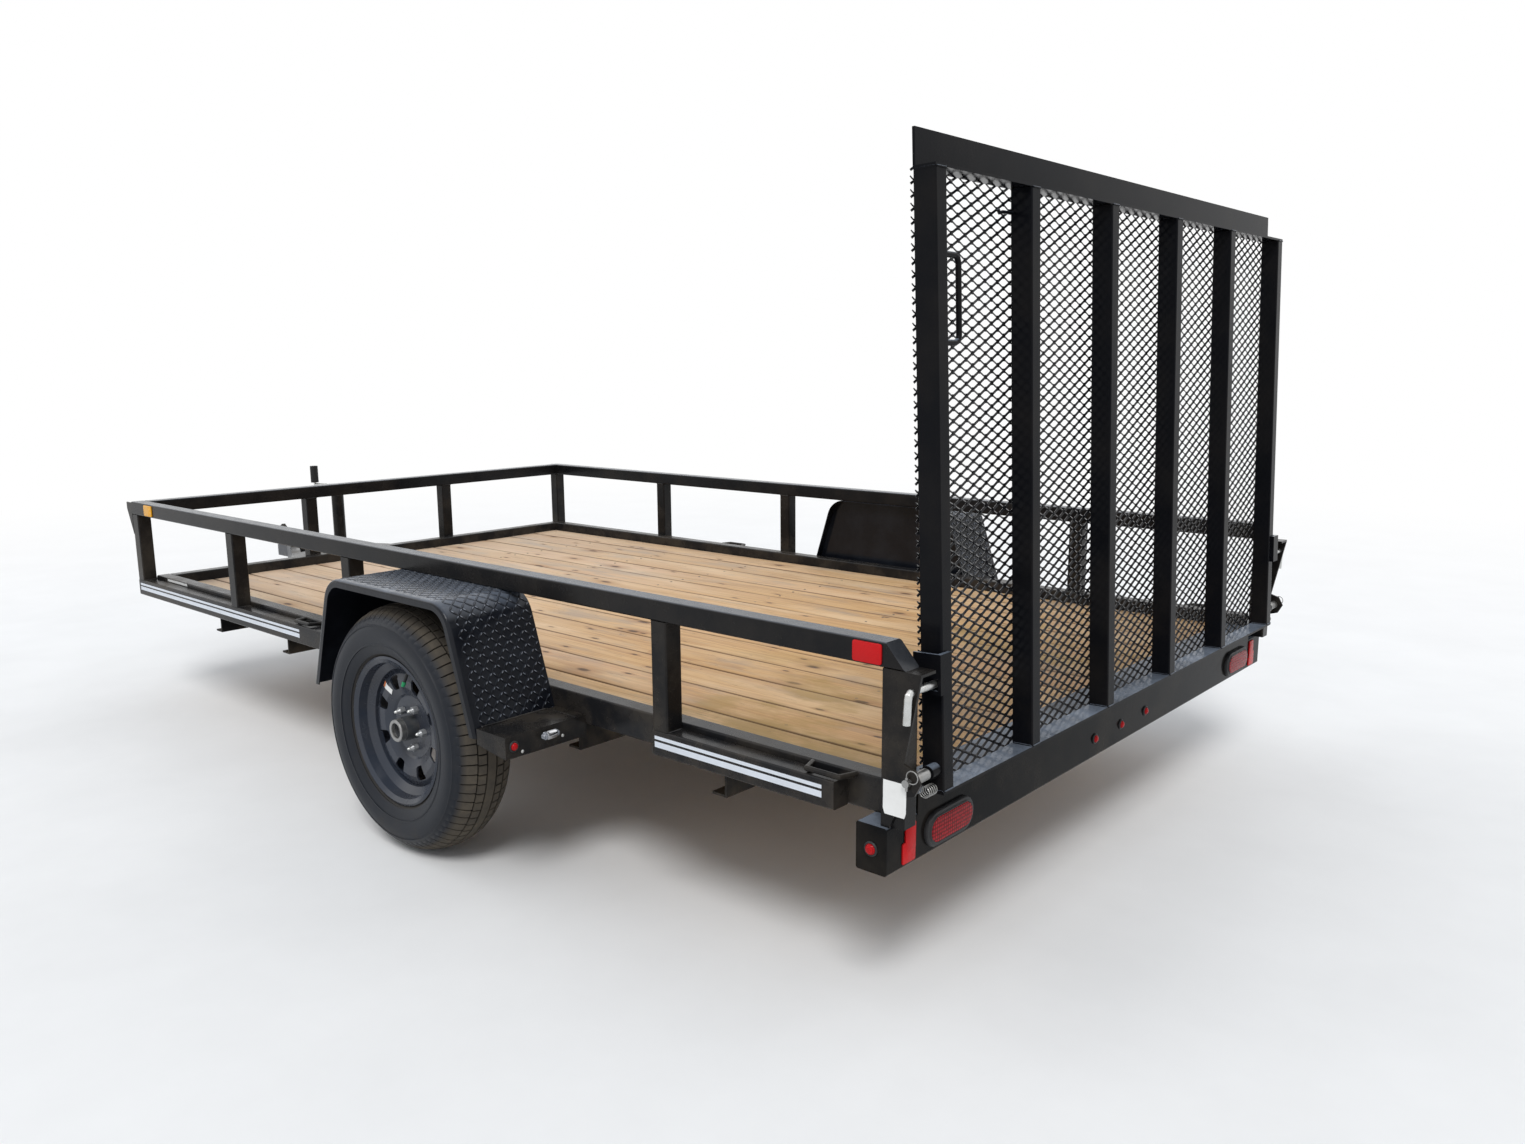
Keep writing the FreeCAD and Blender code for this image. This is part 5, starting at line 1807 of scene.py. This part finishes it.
    def plate_lamp(self) -> None:
        """Bright plate lamp: a round barrel with faceted clear ends on a foot."""
        shell, ends = Blank(), Blank()
        x, (y, z) = self.box_back - 13.0, self.plate_at
        shell.tube([(x, y + off, z) for off in (-15, -12, 12, 15)], [10.4, 11.4, 11.4, 10.4], 20)
        shell.block((self.box_back - 12, self.box_back), (y - 20, y + 20), (z - 11, z + 9), 3.0)
        for sign in (-1, 1):
            ends.tube([(x, y + sign * off, z) for off in (15, 20, 25)], [10.2, 9.2, 5.4], 8)
        heads = Blank()
        for hy, hz in self.box_screws:
            heads.disc((self.box_back, hy, hz), (-1, 0, 0), [(0, 4.2), (1.6, 4.2), (2.8, 3.0), (3.0, 0.8)],
                       12)
        heads.piece("lamp_box_screws", ZINC, Body.CHASSIS)
        shell.piece("plate_lamp_body", CHROME, Body.CHASSIS, ["licence_lamp"])
        ends.piece("plate_lamp_ends", CLEAR_LENS, Body.CHASSIS, sharp=10.0)

    def plate(self, blank: Blank, centre: Point, size: Pair, outward: bool, corner: float = 4.0,
              thick: float = 3.9) -> None:
        """Add a thin plate with rounded corners.

        Args:
            blank: the piece that it joins.
            centre: middle of its back.
            size: its length and height.
            outward: whether it faces outward, not back.
            corner: radius of its corners.
            thick: its thickness.
        """
        ring = []
        for sx, sz, start in ((1, 1, 0), (-1, 1, 90), (-1, -1, 180), (1, -1, 270)):
            for k in range(5):
                a = math.radians(start + 22.5 * k)
                ring.append((sx * (size[0] / 2 - corner) + corner * math.cos(a),
                             sz * (size[1] / 2 - corner) + corner * math.sin(a)))
        x, y, z = centre
        layers = []
        for h, bevel in ((0.0, 0.0), (thick - 0.9, 0.0), (thick, 1.0)):
            flat = [(u * (1 - 2 * bevel / size[0]), v * (1 - 2 * bevel / size[1])) for u, v in ring]
            layers.append([(x + u, y + h, z + v) if outward else (x - h, y + u, z + v) for u, v in flat])
        blank.loft(layers)

    def reflectors(self) -> None:
        """Prismatic plates on the rails and the header."""
        red, amber = Blank(), Blank()
        for blank, x in ((red, self.red_x), (amber, self.amber_x)):
            self.plate(blank, (x, HALF_WIDTH, self.rail_z), self.rail_plate, True, 5.0)
        self.plate(red, (self.back, 1004.0, 376.0), (36.0, 60.0), False)
        self.plate(red, (self.back, 1009.0, 345.0), (46.0, 46.0), False, thick=3.3)
        red.mirrored()
        amber.mirrored()
        red.piece("red_reflector_plates", RED_PRISM, Body.CHASSIS, ["red_reflectors"])
        amber.piece("amber_reflector_plates", AMBER_PRISM, Body.CHASSIS, ["amber_reflectors"])

    def build(self) -> None:
        """Make all lamps and reflectors."""
        self.tail_lamps()
        self.markers()
        self.plate_lamp()
        self.reflectors()


@dataclass
class SideRails:
    """Stripes, blank labels and weld beads on the chassis.

    Attributes:
        ledge: top of the frame, where the posts stand.
        rail_low: underside of the top rail.
        posts: rear faces of the side posts.
        front_post_y: Y of the front post's middle.
        stripe_rear: ends of the stripes behind the wheel.
        stripe_front: ends of the stripes ahead of it.
        stripe_z: lower and upper edge of each stripe.
        bead_r: radius of the beads at the posts.
        bead_off: distance of their middle from the post's faces.
        bead_cut: how far they stop short of the post's corners.
        bead_half: half of the length of the bead behind a front post.
        box_beads: ends and radius of the beads round a lamp box.
    """

    ledge: float = 478.0
    rail_low: float = 741.2
    posts: tuple[float, ...] = (DECK_LENGTH - 868.0, 2000.0, 611.0, DECK_LENGTH - TUBE)
    front_post_y: float = 347.0
    stripe_rear: Pair = (156.0, 655.0)
    stripe_front: Pair = (2350.0, 3644.0)
    stripe_z: tuple[Pair, ...] = ((437.0, 451.0), (456.5, 465.0))
    bead_r: float = 2.8
    bead_off: float = 0.3
    bead_cut: float = 3.0
    bead_half: float = 22.0
    box_beads: tuple[tuple[Point, Point, float], ...] = (
        ((965.5, 1060.0, 441.2), (1079.0, 1060.0, 441.2), 3.2),
        ((1081.0, 1062.0, 441.6), (1081.0, 1262.0, 441.6), 3.0))

    def stripes(self) -> None:
        """Two painted lines along each outer rub rail."""
        blank = Blank()
        for x0, x1 in (self.stripe_rear, self.stripe_front):
            steps = max(2, int((x1 - x0) / 120))
            for edges in self.stripe_z:
                blank.sheet([[(x0 + (x1 - x0) * k / steps, HALF_WIDTH + 0.5, z) for k in range(steps + 1)]
                             for z in edges])
        blank.mirrored()
        blank.piece("rub_rail_stripes", STRIPE, Body.CHASSIS)

    def label(self, name: str, x: Pair, y: float, z: Pair) -> None:
        """Blank label with cut lower corners and a faint buckle.

        Args:
            name: the piece's name.
            x: its ends along the trailer.
            y: the face it is stuck to.
            z: its lower and upper edge.
        """
        parts = 6
        rows = []
        for i in range(parts + 1):
            inset = 0.0 if i else 4.0
            long = x[1] - x[0] - 2 * inset
            rows.append([(x[0] + inset + long * j / parts, y + 0.5 + (0.25 if (i + j) % 3 else 0.0),
                          z[0] + (z[1] - z[0]) * i / parts) for j in range(parts + 1)])
        blank = Blank()
        blank.sheet(rows)
        blank.piece(name, LABEL, Body.CHASSIS)

    def welds(self) -> None:
        """Weld beads at the feet and heads of the posts and round the lamp boxes."""
        blank = Blank()
        y0, y1, r = FRAME_OUT, HALF_WIDTH, self.bead_r
        off, cut = self.bead_off, self.bead_cut
        ends = (self.ledge + off, self.rail_low - off)
        front = DECK_LENGTH - TUBE
        for x in self.posts:
            for z in ends:
                bead(blank, (x + cut, y0 - off, z), (x + TUBE - cut, y0 - off, z), r)
                if x < front - 1:
                    bead(blank, (x + TUBE + off, y0 + cut, z), (x + TUBE + off, y1 - cut, z), r)
                bead(blank, (x - off, y0 + cut, z), (x - off, y1 - cut, z), r)
        mid, half = self.front_post_y, TUBE / 2
        for z in ends:
            bead(blank, (front - off, mid - self.bead_half, z), (front - off, mid + self.bead_half, z), r)
            for y in (mid - half - off, mid + half + off):
                bead(blank, (front + cut, y, z), (DECK_LENGTH - cut, y, z), r)
        for start, end, radius in self.box_beads:
            bead(blank, start, end, radius)
        blank.mirrored()
        blank.piece("chassis_welds", FRAME_PAINT, Body.CHASSIS)

    def build(self) -> None:
        """Make the stripes, the labels and the beads."""
        self.stripes()
        self.label("post_label", (-54.0, 1.0), HALF_WIDTH, (445.0, 516.0))
        self.label("frame_label", (3325.0, 3505.0), FRAME_OUT, (480.5, 490.0))
        self.welds()


@dataclass
class GatePins:
    """Coil springs and lynch pins beside the gate's hinge pins.

    Attributes:
        x: X of the hinge pins.
        z: their height.
        coil_y: ends of the left coil.
        coil_r: radius of the coil.
        coil_drop: how far it hangs below the pin.
        wire: radius of its wire.
        turns: how often it goes round.
        ring_r: radius of a lynch pin's ring.
        ring_off: X and Z of the ring's middle from the pin.
    """

    x: float = HINGE_X
    z: float = HINGE_Z
    coil_y: Pair = (987.0, 1021.0)
    coil_r: float = 10.6
    coil_drop: float = 38.0
    wire: float = 1.1
    turns: float = 5.0
    ring_r: float = 13.0
    ring_off: Pair = (-12.0, 14.0)

    def coils(self) -> None:
        """Springs below the hinge pins, pale all over as a painted highlight."""
        blank = Blank()
        corners = 14
        count = int(self.turns * corners)
        path = []
        for k in range(count + 1):
            a = 2 * math.pi * k / corners
            y = self.coil_y[0] + (self.coil_y[1] - self.coil_y[0]) * k / count
            path.append((self.x + self.coil_r * math.cos(a), y,
                         self.z - self.coil_drop + self.coil_r * math.sin(a)))
        blank.tube(path, self.wire, 6)
        blank.mirrored()
        blank.piece("hinge_coils", HINGE_SPRING_HIGHLIGHT, Body.CHASSIS)

    def lynch_pins(self) -> None:
        """Lynch pins through the hinge pins' ends, each with its spring ring."""
        blank = Blank()
        y = HALF_WIDTH + 6.0
        blank.tube([(self.x, y, self.z + h) for h in (-16, -8, 12)], [2.6, 3.2, 3.4], 10)
        ring = []
        corners = 28
        for k in range(corners):
            a = 2 * math.pi * k / corners
            ring.append((self.x + self.ring_off[0] + self.ring_r * math.sin(a), y - 0.5,
                         self.z + self.ring_off[1] + self.ring_r * math.cos(a)))
        blank.tube(ring, 1.2, 8, closed=True)
        blank.mirrored()
        blank.piece("lynch_pins", DULL_ZINC, Body.CHASSIS)

    def build(self) -> None:
        """Make the small parts at the hinge."""
        self.coils()
        self.lynch_pins()


@dataclass
class Coats:
    """Finishes for the pieces that stay as they are.

    Attributes:
        posts: pieces in the posts' paint.
        frames: pieces in the frame's paint.
        under: pieces in the dusty paint of the underside.
        gate: pieces in the gate's paint.
    """

    posts: tuple[str, ...] = ("posts_left", "posts_right", "posts_front", "front_gussets",
                              "latch_post_left", "latch_post_right", "fender_boxes", "coupler_latch",
                              "jack_housing", "tie_loops")
    frames: tuple[str, ...] = ("main_frame", "rub_rail", "tongue")
    under: tuple[str, ...] = ("cross_members", "axle_beam", "springs", "spring_hangers")
    gate: tuple[str, ...] = ("gate_frame", "gate_uprights", "gate_handle", "gate_ears")

    def lay(self, names: Iterable[str], finish: Finish) -> None:
        """Give each named piece a finish.

        Args:
            names: the pieces' names.
            finish: their finish.
        """
        for name in names:
            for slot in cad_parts[name].material_slots:
                slot.material = finish.make()
            log.info("%s: %s", name, finish.name)

    def build(self) -> None:
        """Dress all kept pieces."""
        self.lay(("top_rail",), RAIL_PAINT)
        self.lay(self.posts, POST_PAINT)
        self.lay(self.frames, FRAME_PAINT)
        self.lay(self.under, UNDER_PAINT)
        self.lay(self.gate, GATE_PAINT)
        self.lay(("rear_header",), SILL_PAINT)
        self.lay(("fender_left", "fender_right"), FENDER_PAINT)
        self.lay(("coupler",), COUPLER_STEEL)
        self.lay(("jack_crank", "latch_pins"), ZINC)
        self.lay(("jack_leg", "hinge_pins"), DULL_ZINC)
        self.lay(("jack_grip",), GRIP)
        self.lay(("rim_left", "rim_right"), RIM_PAINT)
        self.lay(("hub_left", "hub_right"), HUB)


@dataclass
class Studio:
    """Floor, soft light and the camera at the photograph's viewpoint.

    Attributes:
        floor: length of the floor, in metres.
        fade: where the floor starts and ends to fade to white, in metres from the trailer.
        camera_at: the viewpoint, in metres.
        yaw: the camera's turn from X, in degrees.
        pitch: its tilt upwards, in degrees.
        roll: its tilt sideways, in degrees.
        lens: its focal length, in millimetres.
        sky: colour of the sky light.
        sky_level: level of the sky light.
        lamps: name, place, width in degrees and level of each lamp.
    """

    floor: float = 120.0
    fade: Pair = (3.2, 8.5)
    camera_at: Point = (-3.5219, 2.8644, 1.3311)
    yaw: float = -48.80
    pitch: float = -10.41
    roll: float = -0.37
    lens: float = 27.245
    sky: Point = (0.80, 0.84, 0.90)
    sky_level: float = 0.62
    lamps: tuple[tuple[str, Point, float, float], ...] = (
        ("key_lamp", (-4.0, 5.0, 8.5), 22.0, 1.60),
        ("fill_lamp", (6.0, 3.0, 6.0), 50.0, 0.52),
        ("back_lamp", (-1.0, -7.5, 6.5), 50.0, 0.46))

    def ground(self) -> None:
        """Pale floor with a faint mottle."""
        blank = Blank()
        steps = 24
        size = self.floor * 1000.0
        blank.sheet([[(SHIFT + size * (i / steps - 0.5), size * (j / steps - 0.5), 0.0)
                      for j in range(steps + 1)] for i in range(steps + 1)])
        mesh = bpy.data.meshes.new("studio_floor")
        mesh.from_pydata([to_row(p) for p in blank.points], [], blank.faces)
        shade = Shade("studio_floor")
        mottle = shade.step(shade.noise(2.2, 4.0, 0.6), 0.3, 0.7)
        shade.dress(Base_Color=shade.blend(mottle, (0.80, 0.80, 0.795), (0.84, 0.84, 0.835)), Roughness=0.85)
        away = shade.node("VectorMath", operation="LENGTH")
        shade.feed(away.inputs[0], shade.place)
        path = shade.node("LightPath")
        seen = path.outputs["Is Camera Ray"]
        for ray in ("Is Glossy Ray", "Is Transmission Ray"):
            seen = shade.maths("MAXIMUM", seen, path.outputs[ray])
        glow = shade.node("Emission")
        pick = shade.node("MixShader")
        shade.feed(pick.inputs[0], shade.times(seen, shade.step(away.outputs["Value"], *self.fade)))
        shade.feed(pick.inputs[1], shade.shader.outputs[0])
        shade.feed(pick.inputs[2], glow.outputs[0])
        shade.feed(shade.tree.nodes["Material Output"].inputs["Surface"], pick.outputs[0])
        mesh.materials.append(shade.material)
        made = bpy.data.objects.new("studio_floor", mesh)
        bpy.context.scene.collection.objects.link(made)
        made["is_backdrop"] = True

    def world(self) -> None:
        """Even sky light, white where it is seen straight, in gloss or through glass."""
        world = bpy.data.worlds.new("studio_sky")
        bpy.context.scene.world = world
        world.use_nodes = True
        tree = world.node_tree
        tree.nodes.clear()
        out = tree.nodes.new("ShaderNodeOutputWorld")
        soft = tree.nodes.new("ShaderNodeBackground")
        soft.inputs["Color"].default_value = (*self.sky, 1.0)
        soft.inputs["Strength"].default_value = self.sky_level
        white = tree.nodes.new("ShaderNodeBackground")
        white.inputs["Color"].default_value = (1.0, 1.0, 1.0, 1.0)
        white.inputs["Strength"].default_value = 1.0
        path = tree.nodes.new("ShaderNodeLightPath")
        seen = path.outputs["Is Camera Ray"]
        for ray in ("Is Glossy Ray", "Is Transmission Ray"):
            either = tree.nodes.new("ShaderNodeMath")
            either.operation = "MAXIMUM"
            tree.links.new(seen, either.inputs[0])
            tree.links.new(path.outputs[ray], either.inputs[1])
            seen = either.outputs[0]
        pick = tree.nodes.new("ShaderNodeMixShader")
        tree.links.new(seen, pick.inputs[0])
        tree.links.new(soft.outputs[0], pick.inputs[1])
        tree.links.new(white.outputs[0], pick.inputs[2])
        tree.links.new(pick.outputs[0], out.inputs["Surface"])

    def lamp(self, name: str, at: Point, wide: float, level: float) -> None:
        """Even soft light from one side.

        Args:
            name: the lamp's name.
            at: where it stands; it looks at the middle of the trailer.
            wide: how wide it looks from there, in degrees.
            level: its level.
        """
        data = bpy.data.lights.new(name, "SUN")
        data.angle = math.radians(wide)
        data.energy = level
        made = bpy.data.objects.new(name, data)
        made.location = at
        made.rotation_euler = (-Vector(at)).to_track_quat("-Z", "Y").to_euler()
        bpy.context.scene.collection.objects.link(made)

    def camera(self) -> None:
        """Camera at the photograph's viewpoint."""
        yaw, pitch, roll = map(math.radians, (self.yaw, self.pitch, self.roll))
        ahead = Vector((math.cos(yaw) * math.cos(pitch), math.sin(yaw) * math.cos(pitch), math.sin(pitch)))
        right = ahead.cross(Vector((0, 0, 1))).normalized()
        up = right.cross(ahead)
        rolled = right * math.cos(roll) + up * math.sin(roll)
        upright = up * math.cos(roll) - right * math.sin(roll)
        data = bpy.data.cameras.new("viewpoint")
        data.lens = self.lens
        data.sensor_width = 36.0
        data.sensor_fit = "HORIZONTAL"
        made = bpy.data.objects.new("viewpoint", data)
        turn = Matrix((rolled, upright, -ahead)).transposed().to_4x4()
        made.matrix_world = Matrix.Translation(Vector(self.camera_at)) @ turn
        bpy.context.scene.collection.objects.link(made)
        bpy.context.scene.camera = made

    def build(self) -> None:
        """Set up the studio."""
        bpy.context.scene.view_settings.view_transform = "Standard"
        self.ground()
        self.world()
        for name, at, wide, level in self.lamps:
            self.lamp(name, at, wide, level)
        self.camera()


def write_sizes(sizes: dict[str, list[list[float]]], label: str) -> None:
    """Note the bounds of what is shown.

    Args:
        sizes: the notes so far, added to.
        label: the name of this note.
    """
    low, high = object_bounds()
    sizes[label] = [[round(v, 5) for v in low], [round(v, 5) for v in high]]


def main() -> None:
    """Build the trailer's look, sub-assembly by sub-assembly."""
    logging.basicConfig(level=logging.INFO, format="%(message)s")
    sizes: dict[str, list[list[float]]] = {}
    write_sizes(sizes, "frame")
    parts = [Coats(), Deck(), RampGate(), GatePins(), SideRails(), Lamps()]
    for side in Side:
        parts += [Fender(side), Tyre(side), WheelTrim(side)]
    parts.append(Studio())
    for part in parts:
        part.build()
        log.info("%s done", type(part).__name__)
    write_sizes(sizes, "shown")


if __name__ == "__main__":
    main()
